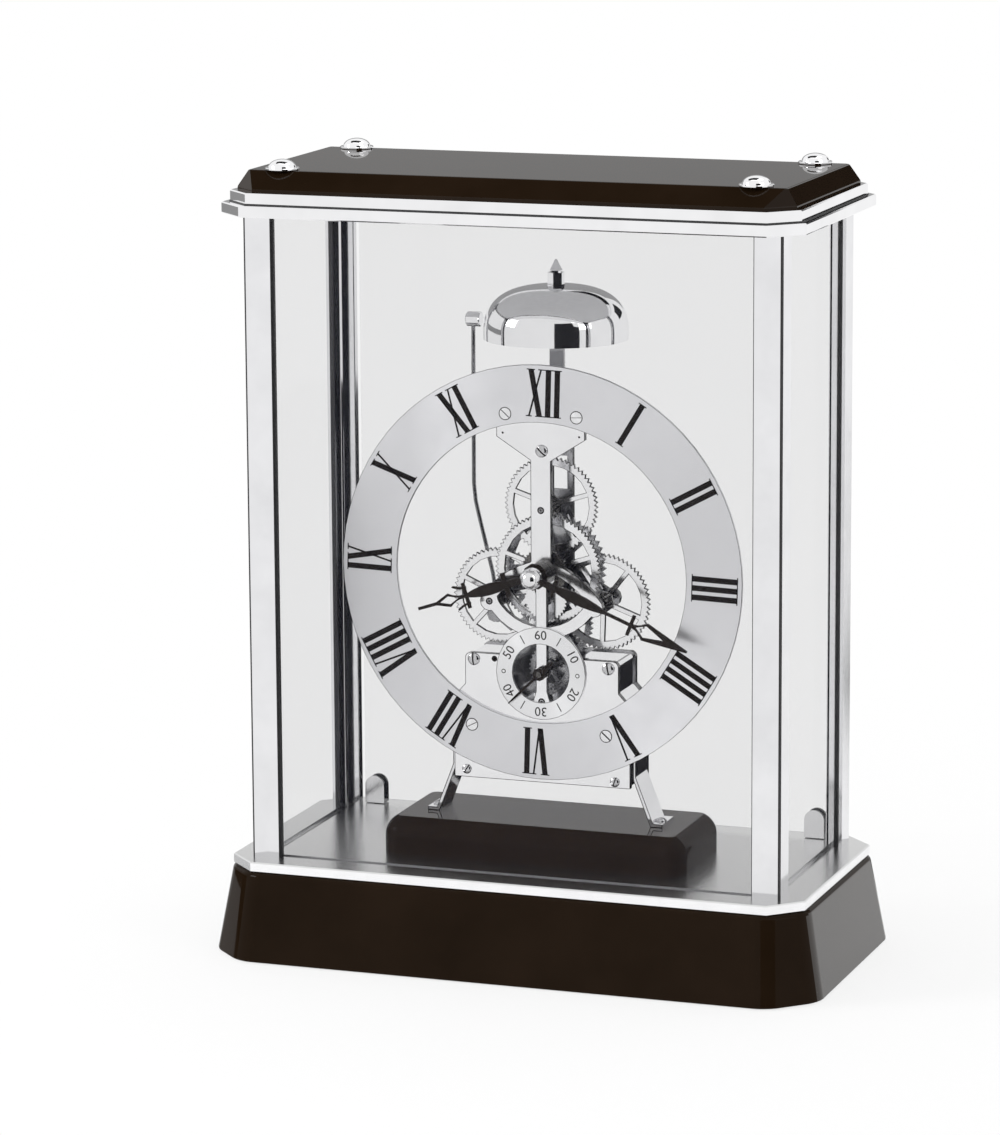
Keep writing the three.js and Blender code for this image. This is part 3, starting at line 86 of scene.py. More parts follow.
def grain(tree, stretch, scale):
    """Noise on the piece's own coordinates, stretched along the direction of polishing."""
    coordinates = tree.nodes.new("ShaderNodeTexCoord")
    mapping = tree.nodes.new("ShaderNodeMapping")
    mapping.inputs["Scale"].default_value = stretch
    noise = tree.nodes.new("ShaderNodeTexNoise")
    noise.inputs["Scale"].default_value = scale
    noise.inputs["Detail"].default_value = NOISE_DETAIL
    noise.inputs["Roughness"].default_value = NOISE_ROUGHNESS
    tree.links.new(coordinates.outputs["Object"], mapping.inputs["Vector"])
    tree.links.new(mapping.outputs["Vector"], noise.inputs["Vector"])
    return noise.outputs["Fac"]


def spread(tree, value, low, high):
    """Carries a noise value onto a range."""
    span = tree.nodes.new("ShaderNodeMapRange")
    span.inputs["From Min"].default_value = NOISE_LOW
    span.inputs["From Max"].default_value = NOISE_HIGH
    span.inputs["To Min"].default_value = low
    span.inputs["To Max"].default_value = high
    tree.links.new(value, span.inputs["Value"])
    return span.outputs["Result"]


def tint(tree, value, dark, light):
    """Carries a noise value onto two close colours."""
    ramp = tree.nodes.new("ShaderNodeValToRGB")
    low, high = ramp.color_ramp.elements
    low.position, low.color = NOISE_LOW, (*dark, 1.0)
    high.position, high.color = NOISE_HIGH, (*light, 1.0)
    tree.links.new(value, ramp.inputs["Fac"])
    return ramp.outputs["Color"]


def ripple(tree, shader, value, strength, depth):
    """Raises the surface a little by a noise value."""
    bump = tree.nodes.new("ShaderNodeBump")
    bump.inputs["Strength"].default_value = strength
    bump.inputs["Distance"].default_value = depth
    tree.links.new(value, bump.inputs["Height"])
    tree.links.new(bump.outputs["Normal"], shader.inputs["Normal"])


def coat(tree, shader, value, tones, rough):
    """Sets the colour and the roughness of a shader from one noise value."""
    tree.links.new(tint(tree, value, *tones), shader.inputs["Base Color"])
    tree.links.new(spread(tree, value, *rough), shader.inputs["Roughness"])


def faced_tone(tree, colour, axis, shade_grey, along):
    """Paints a shade: gives the faces that look along an axis, or else all the others, a flat grey
    of their own.
    """
    coordinates = tree.nodes.new("ShaderNodeTexCoord")
    split = tree.nodes.new("ShaderNodeSeparateXYZ")
    either_way = tree.nodes.new("ShaderNodeMath")
    either_way.operation = "ABSOLUTE"
    blend = tree.nodes.new("ShaderNodeMix")
    blend.data_type = "RGBA"
    plain, shaded = ("A", "B") if along else ("B", "A")
    blend.inputs[shaded].default_value = (shade_grey, shade_grey, shade_grey, 1.0)
    tree.links.new(coordinates.outputs["Normal"], split.inputs["Vector"])
    tree.links.new(split.outputs[axis], either_way.inputs[0])
    tree.links.new(either_way.outputs["Value"], blend.inputs["Factor"])
    tree.links.new(colour, blend.inputs[plain])
    return blend.outputs["Result"]


def metal_finish(name, tones, rough, stretch, scale, ripples=0.0, side=None, top=None):
    """A polished or brushed metal; its sides or its top may be painted a grey of their own, a
    painted shade.
    """
    finish, tree, shader = new_finish(name)
    shader.inputs["Metallic"].default_value = 1.0
    lines = grain(tree, stretch, scale)
    colour = tint(tree, grain(tree, EVEN, CLOUD_SCALE), *tones)
    if side is not None:
        # Painted shade: faces that look sideways, not to the front or back, take the side grey.
        colour = faced_tone(tree, colour, "Y", side, False)
    if top is not None:
        # Painted shade: faces that look up or down take the top grey.
        colour = faced_tone(tree, colour, "Z", top, True)
    tree.links.new(colour, shader.inputs["Base Color"])
    tree.links.new(spread(tree, lines, *rough), shader.inputs["Roughness"])
    if ripples > 0:
        ripple(tree, shader, lines, ripples, BRUSH_DEPTH)
    return finish


def brushed_round(name, tones, rough):
    """A metal face that is brushed in circles about the middle of the piece."""
    finish, tree, shader = new_finish(name)
    shader.inputs["Metallic"].default_value = 1.0
    shader.inputs["Anisotropic"].default_value = 0.75
    shader.inputs["Anisotropic Rotation"].default_value = 0.25
    coat(tree, shader, grain(tree, EVEN, CLOUD_SCALE), tones, rough)
    direction = tree.nodes.new("ShaderNodeTangent")
    direction.direction_type = "RADIAL"
    direction.axis = "Y"
    tree.links.new(direction.outputs["Tangent"], shader.inputs["Tangent"])
    return finish


def lacquer_finish(name, gloss):
    """Black lacquer with a trace of brown."""
    finish, tree, shader = new_finish(name)
    coat(tree, shader, grain(tree, EVEN, 35.0), LACQUER_TONES, (0.02, 0.045))
    shader.inputs["IOR"].default_value = gloss
    return finish


def glass_finish(name):
    """A clear pane, seen through with a weak veil."""
    finish, tree, shader = new_finish(name)
    clouds = grain(tree, EVEN, 18.0)
    tree.links.new(tint(tree, clouds, *PANE_TONES), shader.inputs["Base Color"])
    shader.inputs["Roughness"].default_value = 0.02
    shader.inputs["IOR"].default_value = 1.5
    shader.inputs["Alpha"].default_value = 0.062
    return finish


def plain_finish(name, tones, rough, scale, ripples=0.0, shine=0.5):
    """Paint, felt, plastic and the like, with fine specks."""
    finish, tree, shader = new_finish(name)
    shader.inputs["Specular IOR Level"].default_value = shine
    specks = grain(tree, EVEN, scale)
    coat(tree, shader, specks, tones, rough)
    if ripples > 0:
        ripple(tree, shader, specks, ripples, SPECK_DEPTH)
    return finish


# Copies of one lacquer that differ only in how much they reflect: the shaded copy, with its
# reflection cut to near nothing, is a painted shade on faces meant to stay dark.
SHADED_LACQUER = lacquer_finish("shaded_lacquer", 1.12)
END_LACQUER = lacquer_finish("black_lacquer", 1.5)
BOARD_LACQUER = lacquer_finish("thin_lacquer", 1.2)
PANE = glass_finish("clear_pane")
# Painted shade: the base plate's faces that look up or down are painted a darker grey (top=0.62).
BRUSHED = metal_finish(
    "brushed_plate", (grey(0.90), grey(0.97)), (0.23, 0.27), (8.0, 900.0, 900.0), 12.0, top=0.62)
EDGE_POLISH = metal_finish(
    "polished_edging", (grey(0.82), grey(0.89)), (0.04, 0.06), (6.0, 300.0, 300.0), 10.0)
POST_POLISH = metal_finish(
    "polished_post", (grey(0.75, 0.015), grey(0.82, 0.015)), (0.05, 0.14), (500.0, 500.0, 9.0),
    10.0, ripples=0.03)
# Painted shade: the sideways faces of the satin plates and clamps are painted a dark grey
# (side=0.16).
SATIN = metal_finish(
    "satin_plate", (grey(0.92), grey(0.98)), (0.12, 0.20), (300.0, 300.0, 20.0), 8.0,
    ripples=0.02, side=0.16)
# Painted shade: the sideways faces of the back plate are painted a dark grey (side=0.10).
GREY_PLATE = metal_finish(
    "grey_plate", (grey(0.40), grey(0.47)), (0.12, 0.22), (300.0, 300.0, 20.0), 8.0,
    ripples=0.02, side=0.10)
STRAP_GREY = metal_finish(
    "grey_strap", (grey(0.38), grey(0.44)), (0.10, 0.18), (300.0, 300.0, 20.0), 8.0)
SCREW_STEEL = metal_finish("screw_steel", (grey(0.56), grey(0.64)), (0.05, 0.12), EVEN, 300.0)
MIRROR = metal_finish("mirror_plate", (grey(0.86), grey(0.93)), (0.02, 0.06), EVEN, 90.0)
# Painted shade: the sideways faces of the wheels are painted a dark grey (side=0.16).
WHEEL_POLISH = metal_finish(
    "polished_wheel", (grey(0.86), grey(0.95)), (0.08, 0.18), (60.0, 400.0, 400.0), 9.0,
    ripples=0.03, side=0.16)
DARK_STEEL = metal_finish(
    "dark_steel", ((0.06, 0.055, 0.05), (0.16, 0.155, 0.15)), (0.16, 0.32), (300.0, 20.0, 300.0),
    12.0, ripples=0.06)
GREY_STEEL = metal_finish(
    "grey_steel", (grey(0.30), grey(0.46)), (0.18, 0.34), (300.0, 20.0, 300.0), 12.0, ripples=0.06)
DIAL_SILVER = brushed_round("silvered_dial", (grey(0.77, 0.02), grey(0.84, 0.02)), (0.30, 0.40))
RING_SILVER = brushed_round("silvered_seconds", (grey(0.88), grey(0.94)), (0.24, 0.34))
SCREW_SILVER = brushed_round("silvered_screws", (grey(0.90), grey(0.95)), (0.24, 0.34))
HAND_BLACK = plain_finish(
    "black_hands", ((0.010, 0.007, 0.005), (0.022, 0.017, 0.013)), (0.22, 0.40), 900.0,
    ripples=0.1, shine=0.12)
# Black for the printed numerals and ticks, and for painted shade in slots, gaps, holes and along
# edges.
PRINT_AND_SHADE_BLACK = plain_finish(
    "black_print_and_shade", ((0.008, 0.006, 0.005), (0.014, 0.011, 0.009)), (0.35, 0.50), 1200.0, shine=0.08)
FELT = plain_finish(
    "green_felt", ((0.010, 0.030, 0.018), (0.035, 0.075, 0.045)), (0.90, 1.0), 2600.0, ripples=0.8)
# Black moulded plastic for the battery and the motor; the same black is painted shade in the post
# corners and under the cornice, and fills the strips where the panes meet the posts.
MOULDED_AND_SHADE_BLACK = plain_finish(
    "moulded_black_and_shade", ((0.010, 0.010, 0.011), (0.022, 0.022, 0.024)), (0.38, 0.55), 1500.0,
    ripples=0.2)
LINING_GREY = plain_finish("pale_lining", (grey(0.80), grey(0.88)), (0.6, 0.8), 300.0, ripples=0.05)
BOARD_GREEN = plain_finish(
    "board_green", ((0.015, 0.075, 0.035), (0.025, 0.11, 0.05)), (0.35, 0.5), 800.0, ripples=0.1)

NODE_FINISHES = (
    (FELT, ("base_felt",)),
    (BRUSHED, ("base_plate",)),
    (EDGE_POLISH, ("cornice_lower", "cornice_upper")),
    (POST_POLISH, (
        "post_front_left", "post_front_right", "post_back_left", "post_back_right",
        "left_leg", "right_leg")),
    (PANE, ("front_glass", "left_glass", "right_glass", "rear_glass")),
    (DIAL_SILVER, ("chapter_ring",)),
    (RING_SILVER, ("seconds_ring",)),
    (SATIN, (
        "lower_plate", "front_bridge", "door_clamp_lower", "door_clamp_upper", "door_clamp_free")),
    (GREY_PLATE, ("back_plate",)),
    (STRAP_GREY, ("bell_post",)),
    (MIRROR, ("drive_housing", "bell_finial")),
    (WHEEL_POLISH, ("centre_wheel", "upper_wheel", "left_wheel", "right_wheel", "minute_wheel")),
    (GREY_STEEL, ("drive_wheel", "third_wheel", "seconds_wheel", "hammer_lever")),
    (DARK_STEEL, (
        "centre_arbor", "upper_arbor", "left_arbor", "right_arbor", "third_arbor",
        "seconds_arbor", "hour_wheel")),
    (HAND_BLACK, ("hour_hand", "minute_hand", "seconds_hand")),
    (MOULDED_AND_SHADE_BLACK, ("battery", "drive_motor")),
    (BOARD_GREEN, ("circuit_board",)),
)
for finish, node_names in NODE_FINISHES:
    for node_name in node_names:
        slots = nodes[node_name].data.materials
        slots.clear()
        slots.append(finish)


# Making pieces

def settle(bm, name, finish, body, smooth_angle=None):
    """Turns a bmesh in millimetres into a finished piece that rides on a body."""
    bmesh.ops.remove_doubles(bm, verts=bm.verts, dist=MERGE)
    bmesh.ops.recalc_face_normals(bm, faces=bm.faces)
    bmesh.ops.scale(bm, vec=(MM, MM, MM), verts=bm.verts)
    mesh = bpy.data.meshes.new(name)
    for face in bm.faces:
        face.smooth = smooth_angle is not None
    bm.to_mesh(mesh)
    bm.free()
    if smooth_angle is not None:
        mesh.set_sharp_from_angle(angle=math.radians(smooth_angle))
    mesh.materials.append(finish)
    piece = bpy.data.objects.new(name, mesh)
    scene.collection.objects.link(piece)
    if smooth_angle is not None:
        weights = piece.modifiers.new("flat_faces_first", "WEIGHTED_NORMAL")
        weights.keep_sharp = True
    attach(piece, body)
    return piece


def turned(bm, profile, centre, axis, steps):
    """Turns a profile of radius and height about an axis through a point."""
    axis = Vector(axis)
    across = Vector((1.0, 0.0, 0.0)) if abs(axis.x) < 0.5 else Vector((0.0, 0.0, 1.0))
    ring = [
        bm.verts.new(Vector(centre) + across * radius + axis * height)
        for radius, height in profile]
    edges = [bm.edges.new(pair) for pair in zip(ring, ring[1:])]
    bmesh.ops.spin(
        bm, geom=ring + edges, cent=centre, axis=axis, dvec=(0, 0, 0), angle=2 * math.pi,
        steps=steps, use_merge=True, use_duplicate=False)
    bmesh.ops.remove_doubles(bm, verts=bm.verts, dist=MERGE)


def quarter(radius, height, start, steps, power=1.0):
    """Points of a quarter curve from a rim up to the axis, as radius and height."""
    points = []
    for step in range(steps + 1):
        angle = step / steps * math.pi / 2
        points.append(
            (radius * math.cos(angle) ** power, start + height * math.sin(angle) ** power))
    return points


def bar(bm, middle, size, place=Matrix.Identity(4)):
    """A straight bar of a given size about a middle point."""
    shape = Matrix.Translation(middle) @ Matrix.Diagonal((*size, 1.0))
    bmesh.ops.create_cube(bm, size=1.0, matrix=place @ shape)


# Lacquered woodwork

LEVEL_REACH = 0.4
SLANT_RISE = 5.0


def eight_sided(outline, height):
    """The corners of a rectangle with cut corners, from its width, depth and cut."""
    width, depth, cut = outline
    half_x, half_y = width / 2, depth / 2
    return [
        Vector((x, y, height)) for x, y in (
            (half_x - cut, -half_y), (half_x, cut - half_y), (half_x, half_y - cut),
            (half_x - cut, half_y), (cut - half_x, half_y), (-half_x, half_y - cut),
            (-half_x, cut - half_y), (cut - half_x, -half_y))]


def stacked(bm, levels):
    """Bridges level outlines into a closed solid."""
    loops = []
    for outline in levels:
        ring = [bm.verts.new(point) for point in outline]
        loops.append([bm.edges.new((ring[k], ring[k - 1])) for k in range(len(ring))])
    for lower, upper in zip(loops, loops[1:]):
        bmesh.ops.bridge_loops(bm, edges=lower + upper)
    bmesh.ops.contextual_create(bm, geom=loops[0])
    bmesh.ops.contextual_create(bm, geom=loops[-1])
    bmesh.ops.recalc_face_normals(bm, faces=bm.faces)


def slanted(a, b):
    """Chooses the edges that run up a solid."""
    return abs(a.z - b.z) > SLANT_RISE


def at_height(level):
    """Chooses the edges that lie at one height."""
    return lambda a, b: max(abs(a.z - level), abs(b.z - level)) < LEVEL_REACH


def soften(bm, chooser, width, segments):
    """Rounds the edges that a test on their two ends chooses."""
    edges = [edge for edge in bm.edges if chooser(*[vert.co for vert in edge.verts])]
    bmesh.ops.bevel(
        bm, geom=edges, offset=width, offset_type="OFFSET", affect="EDGES", segments=segments,
        profile=0.5, material=-1, clamp_overlap=True)


def second_finish(bm, chooser):
    """Marks the faces whose normal a test chooses for the piece's second material."""
    bm.normal_update()
    for face in bm.faces:
        face.material_index = 1 if chooser(face.normal) else 0


def make_plinth():
    """A plinth that tapers upward; its front and chamfers take the shaded copy of the lacquer, a
    painted shade, and its ends the glossier copy.
    """
    low, high = 0.4, 29.7
    foot, head = (212.2, 111.9, 13.9), (202.0, 100.1, 10.8)
    bm = bmesh.new()
    stacked(bm, [eight_sided(foot, low), eight_sided(head, high)])
    soften(bm, slanted, 4.5, 6)
    soften(bm, at_height(high), 1.5, 4)
    soften(bm, at_height(low), 0.7, 2)
    # Painted shade: the ends take the glossier lacquer, the front and chamfers the shaded copy.
    second_finish(bm, lambda normal: abs(normal.x) > 0.9)
    piece = settle(bm, "lacquered_plinth", SHADED_LACQUER, "case", 40)
    piece.data.materials.append(END_LACQUER)
    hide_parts("base_plinth")


def make_top_board():
    """The top board, with a wide bevel round its upper face."""
    low, bevel_foot, high = 257.5, 258.5, 264.0
    edge, face = (191.0, 91.0, 8.5), (183.9, 72.7, 0.8)
    bm = bmesh.new()
    stacked(bm, [eight_sided(edge, low), eight_sided(edge, bevel_foot), eight_sided(face, high)])
    soften(bm, at_height(high), 0.5, 3)
    soften(bm, at_height(bevel_foot), 0.3, 2)
    piece = settle(bm, "lacquered_top", BOARD_LACQUER, "case", 30)
    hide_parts("top_board")


def round_cornered(half_x, half_y, corner, centre_y, height, steps=8):
    """The outline of a rectangle with round corners, at one height."""
    points = []
    for quadrant, (sign_x, sign_y) in enumerate(((1, 1), (-1, 1), (-1, -1), (1, -1))):
        middle = Vector((
            sign_x * (half_x - corner), centre_y + sign_y * (half_y - corner), height))
        for step in range(steps + 1):
            angle = (quadrant + step / steps) * math.pi / 2
            points.append(middle + Vector((math.cos(angle), math.sin(angle), 0.0)) * corner)
    return points


def make_block():
    """A block with a flat top inside a crisp edge, and sides that swell out and down from it."""
    half_x, half_y, centre_y, corner = 53.2, 22.2, -1.2, 6.5
    low, wall, high = 33.2, 36.0, 45.5
    swell, arc, steps = 7.5, math.radians(65), 10
    shoulder = high - swell * math.sin(arc)
    levels = [
        round_cornered(half_x, half_y, corner, centre_y, height) for height in (low, wall)]
    for step in range(steps + 1):
        angle = step / steps * arc
        inset = swell * (1 - math.cos(angle))
        height = shoulder + swell * math.sin(angle)
        levels.append(
            round_cornered(half_x - inset, half_y - inset, corner - inset, centre_y, height))
    bm = bmesh.new()
    stacked(bm, levels)
    # Painted shade and light: the flat top takes the brighter board lacquer, the sides the shaded
    # copy.
    second_finish(bm, lambda normal: normal.z > 0.95)
    piece = settle(bm, "lacquered_block", SHADED_LACQUER, "case", 20)
    piece.data.materials.append(BOARD_LACQUER)
    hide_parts("movement_block")


# Bell, caps and screws

def make_bell():
    """A thin bell with a round shoulder and a hole for its post."""
    radius, rim, top = 24.2, 206.3, 224.3
    lip, shoulder, squareness = 1.2, 2.0, 0.77
    wall, hole, inner_hole = 1.0, 1.8, 3.2
    rise = top - rim
    outer = [(radius, 0.0), (radius, lip)]
    outer += quarter(radius, rise - shoulder, shoulder, 28, squareness)[:-1]
    outer.append((hole, rise))
    inner = [(hole, rise - wall)]
    inner += [
        (reach - wall, height - wall) for reach, height in reversed(outer[1:-1])
        if reach > inner_hole]
    inner.append((radius - wall, 0.0))
    bm = bmesh.new()
    turned(bm, outer + inner + outer[:1], Vector((0.0, 6.1, rim)), UP, 96)
    piece = settle(bm, "chromed_bell", MIRROR, "case", 40)
    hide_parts("bell")


def make_hand_cap():
    """A domed cap with a blind hole for the centre arbor."""
    radius, band, dome = 3.6, 1.2, 3.9
    hole, hole_depth = 1.05, 3.64
    profile = [(0.0, hole_depth), (hole, hole_depth), (hole, 0.0), (radius, 0.0)]
    profile += quarter(radius, dome, band, 12)
    bm = bmesh.new()
    turned(bm, profile, Vector((0.0, -19.26, DIAL.z)), FORWARD, 48)
    piece = settle(bm, "domed_cap", MIRROR, "minute_train", 40)
    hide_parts("hand_cap")


def make_collar():
    """A grooved sleeve over the collar of the hour pipe."""
    hole, radius, waist, length = 2.6, 3.85, 3.2, 5.05
    profile = [(hole, 0.0), (radius, 0.0)]
    for groove in range(3):
        start = 0.15 + groove * 1.62
        profile += [
            (radius, start + 1.05), (waist, start + 1.2), (waist, start + 1.45),
            (radius, start + 1.6)]
    profile += [(radius - 0.15, length), (hole, length), (hole, 0.0)]
    bm = bmesh.new()
    turned(bm, profile, Vector((0.0, -10.68, DIAL.z)), FORWARD, 48)
    settle(bm, "grooved_collar", DARK_STEEL, "hour_train", 35)


def make_hammer_head():
    """A turned head with a stud at its outer end."""
    low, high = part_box("hammer_head")
    left, right = low.x / MM, high.x / MM
    length = right - left
    stud, stud_length, radius, ease = 0.9, 0.6, 2.5, 0.3
    profile = [
        (0.0, 0.0), (stud - 0.1, 0.0), (stud, 0.1), (stud, stud_length),
        (radius - ease, stud_length), (radius, stud_length + ease), (radius, length - ease),
        (radius - ease, length), (0.0, length)]
    bm = bmesh.new()
    turned(bm, profile, Vector((left, 6.2, 211.4)), SIDEWAYS, 40)
    piece = settle(bm, "polished_hammer_head", MIRROR, "hammer", 35)
    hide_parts("hammer_head")


TOP_SCREWS = (
    "top_screw_front_left", "top_screw_front_right", "top_screw_back_left", "top_screw_back_right")
TOP_SCREW_FACE = 264.0
TOP_SCREW_PROFILE = [
    (0.0, -3.0), (1.8, -3.0), (1.8, 0.0), (5.5, 0.0), (5.7, 0.2), (5.7, 0.6), (5.5, 0.8),
    (4.7, 0.8)]


def make_top_screws():
    """Domed screws on collars, at the corners of the top board."""
    for node_name in TOP_SCREWS:
        low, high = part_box(node_name)
        centre = (low + high) / 2 / MM
        bm = bmesh.new()
        profile = TOP_SCREW_PROFILE + quarter(4.6, 2.7, 0.8, 10)
        turned(bm, profile, Vector((centre.x, centre.y, TOP_SCREW_FACE)), UP, 48)
        piece = settle(bm, node_name + "_dome", MIRROR, "case", 35)
        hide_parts(node_name)


def half_dome(bm, profile, side, gap):
    """Adds the part of a domed screw head on one side of its slot."""
    lobe = bmesh.new()
    turned(lobe, profile, Vector(), UP, 40)
    whole = lobe.verts[:] + lobe.edges[:] + lobe.faces[:]
    parting = bmesh.ops.bisect_plane(
        lobe, geom=whole, dist=0.0001, plane_co=(0, side * gap, 0), plane_no=(0, side, 0),
        clear_inner=True)
    rim = [item for item in parting["geom_cut"] if isinstance(item, bmesh.types.BMEdge)]
    bmesh.ops.contextual_create(lobe, geom=rim)
    carrier = bpy.data.meshes.new("half_dome")
    lobe.to_mesh(carrier)
    lobe.free()
    bm.from_mesh(carrier)
    bpy.data.meshes.remove(carrier)


def domed_screw(name, place, radius, slot_turn, stand=UPRIGHT):
    """A steel domed screw with a slot across it, and a dark bar at the slot's floor, a painted
    shade.
    """
    band, rise, gap = radius * 0.12, radius * 0.42, radius * 0.12
    profile = [(0.0, 0.0), (radius, 0.0)] + quarter(radius, rise, band, 10)
    turn = Matrix.Translation(place) @ stand @ Matrix.Rotation(math.radians(slot_turn), 4, "Z")
    head = bmesh.new()
    for side in (-1, 1):
        half_dome(head, profile, side, gap)
    bmesh.ops.transform(head, matrix=turn, verts=head.verts)
    settle(head, name, SCREW_STEEL, "case", 35)
    # Painted shade: a dark bar at the floor of the slot.
    slot = bmesh.new()
    length = 2 * math.sqrt(radius ** 2 - gap ** 2) * 0.97
    bar(slot, (0, 0, band), (length, gap * 1.96, band * 2), turn)
    settle(slot, name + "_slot", PRINT_AND_SHADE_BLACK, "case")


def flat_disc(bm, radius, low, high, place):
    """A thin disc that faces the viewer, between two heights above its place."""
    middle = Matrix.Translation((0, 0, (low + high) / 2))
    bmesh.ops.create_cone(
        bm, cap_ends=True, segments=40, radius1=radius, radius2=radius, depth=high - low,
        matrix=Matrix.Translation(place) @ UPRIGHT @ middle)


def flush_screw(name, place, radius, slot_turn, slot_width):
    """A flat screw that lies level with the dial, with a dark line round it and across it, a
    painted shade in the gap round its head and in its slot.
    """
    # Painted shade: the dark ring round the head and the dark slot.
    line = bmesh.new()
    flat_disc(line, radius, 0.005, 0.03, place)
    turn = Matrix.Translation(place) @ UPRIGHT @ Matrix.Rotation(math.radians(slot_turn), 4, "Z")
    if slot_width > 0:
        bar(line, (0, 0, 0.065), ((radius - 0.35) * 2, slot_width, 0.02), turn)
    settle(line, name + "_line", PRINT_AND_SHADE_BLACK, "case")
    head = bmesh.new()
    flat_disc(head, radius - 0.28, 0.032, 0.055, place)
    settle(head, name, SCREW_SILVER, "case")


# Each screw: name, x, z, turn of its slot, and the slot's width or the head's radius
DIAL_SCREW_RADIUS = 2.2
DIAL_SCREWS = (
    ("dial_screw_upper_left", -12.0, 183.0, -42, 0.30),
    ("dial_screw_upper_right", 12.85, 182.8, 3, 0.16),
    ("dial_screw_lower_left", -24.4, 76.9, 27, 0.22),
    ("dial_screw_lower_right", 22.9, 76.2, -42, 0.45),
)
RIVET_RADIUS = 0.75
RIVETS = (("seconds_rivet_left", -13.1), ("seconds_rivet_right", 12.9))
PLATE_SCREWS = (
    ("plate_screw_left", -23.9, 99.2, 94, 2.15),
    ("plate_screw_right", 23.5, 98.9, 100, 2.15),
    ("foot_screw_left", -26.7, 61.2, 58, 1.65),
    ("foot_screw_right", 25.7, 60.5, 72, 1.65),
    ("bridge_screw", 0.4, 170.9, -43, 2.15),
)
SOLE_SCREW_RADIUS = 1.9
SOLE_SCREWS = (("sole_screw_left", -39.6, 20), ("sole_screw_right", 39.6, -30))


def make_screws():
    """The screws and rivets of the dial, the plates and the feet."""
    for name, x, z, slot_turn, slot_width in DIAL_SCREWS:
        flush_screw(name, Vector((x, DIAL.y, z)), DIAL_SCREW_RADIUS, slot_turn, slot_width)
    for name, x in RIVETS:
        flush_screw(name, Vector((x, SECONDS.y, SECONDS.z)), RIVET_RADIUS, 0, 0.0)
    for name, x, z, slot_turn, radius in PLATE_SCREWS:
        domed_screw(name, Vector((x, PLATE_FACE, z)), radius, slot_turn)
    for name, x, slot_turn in SOLE_SCREWS:
        place = Vector((x, -2.9, 46.7))
        domed_screw(name, place, SOLE_SCREW_RADIUS, slot_turn, Matrix.Identity(4))


# Small fittings

BUSHING_RADIUS = 1.2
BUSHINGS = ((0.0, 150.95), (-18.32, 119.22), (18.32, 119.22), (0.0, 86.1))
BUSHING_RING = [(0.38, 0.0), (0.72, 0.0), (0.72, 0.08), (0.38, 0.08), (0.38, 0.0)]
# Small holes, painted as dark discs on the plate, a painted shade: x, z and radius.
SMALL_HOLES = ((-13.2, 176.4, 0.36), (13.5, 176.2, 0.36), (-16.6, 99.7, 1.0))
HOLE_LOW = 0.01
HOLE_HIGH = 0.05


def make_bushings():
    """Dark pivot bushings in the plates, each with a grey ring, and the small holes by them,
    painted as dark discs for the shade inside them.
    """
    dark, rings = bmesh.new(), bmesh.new()
    for x, z in BUSHINGS:
        place = Vector((x, PLATE_FACE, z))
        flat_disc(dark, BUSHING_RADIUS, HOLE_LOW, HOLE_HIGH, place)
        turned(rings, BUSHING_RING, place, FORWARD, 32)
    for x, z, radius in SMALL_HOLES:
        flat_disc(dark, radius, HOLE_LOW, HOLE_HIGH, Vector((x, PLATE_FACE, z)))
    settle(dark, "pivot_bushings", PRINT_AND_SHADE_BLACK, "case")
    settle(rings, "bushing_rings", GREY_STEEL, "case")


def make_lining():
    """A pale panel under the top of the case, between the panes."""
    bm = bmesh.new()
    bar(bm, (0.0, 1.0, 249.6), (172.0, 72.0, 0.4))
    settle(bm, "pale_lining", LINING_GREY, "case")


# The low and high corners of the dark strips on the right-hand side, as x and y
PANE_POST_STRIPS = (
    ((82.0, -39.7), (82.68, -38.52)),
    ((89.62, -31.68), (90.9, -31.0)),
    ((89.62, 31.0), (90.9, 31.68)),
)


def make_seals():
    """Thin dark strips where the panes meet the inner edges of the posts."""
    bm = bmesh.new()
    for side in (-1, 1):
        for low, high in PANE_POST_STRIPS:
            middle = (side * (low[0] + high[0]) / 2, (low[1] + high[1]) / 2, 141.55)
            bar(bm, middle, (high[0] - low[0], high[1] - low[1], 216.5))
    settle(bm, "pane_post_strips", MOULDED_AND_SHADE_BLACK, "case")


def make_trims():
    """Dark strips in the corners of the posts, a painted shade for the dark face of a small rebate
    there; beads on the side panes; and a dark band under the upper cornice, a painted shadow line.
    """
    rebate_shade, beads, shadow_line = bmesh.new(), bmesh.new(), bmesh.new()
    for side in (-1, 1):
        for y in (-40.75, 40.75):
            # Painted shade: a dark strip in each post's outer corner stands for the dark face of a
            # small rebate there.
            bar(rebate_shade, (side * 91.75, y, 141.45), (0.5, 0.5, 216.6))
        bar(beads, (side * 87.0, 32.1, 141.45), (0.16, 2.2, 216.0))
    settle(rebate_shade, "corner_rebate_shade", MOULDED_AND_SHADE_BLACK, "case")
    settle(beads, "pane_beads", EDGE_POLISH, "case")
    # Painted shadow: a thin dark band at the foot of the upper cornice.
    stacked(shadow_line, [eight_sided((195.6, 95.6, 9.1), height) for height in (253.7, 254.0)])
    settle(shadow_line, "cornice_shadow_line", MOULDED_AND_SHADE_BLACK, "case")


EDGE_DEPTH = 0.05
EDGE_RISE = 0.03
# Pieces that get a painted dark line along their front edges, a painted shade: node, body and
# width.
EDGE_SHADE_LINES = (
    ("lower_plate", "case", 0.17),
    ("front_bridge", "case", 0.17),
    ("chapter_ring", "case", 0.11),
    ("seconds_ring", "case", 0.14),
    ("centre_wheel", "minute_train", 0.13),
    ("upper_wheel", "upper_display", 0.13),
    ("left_wheel", "left_display", 0.13),
    ("right_wheel", "right_display", 0.13),
    ("left_leg", "case", 0.22),
    ("right_leg", "case", 0.22),
)


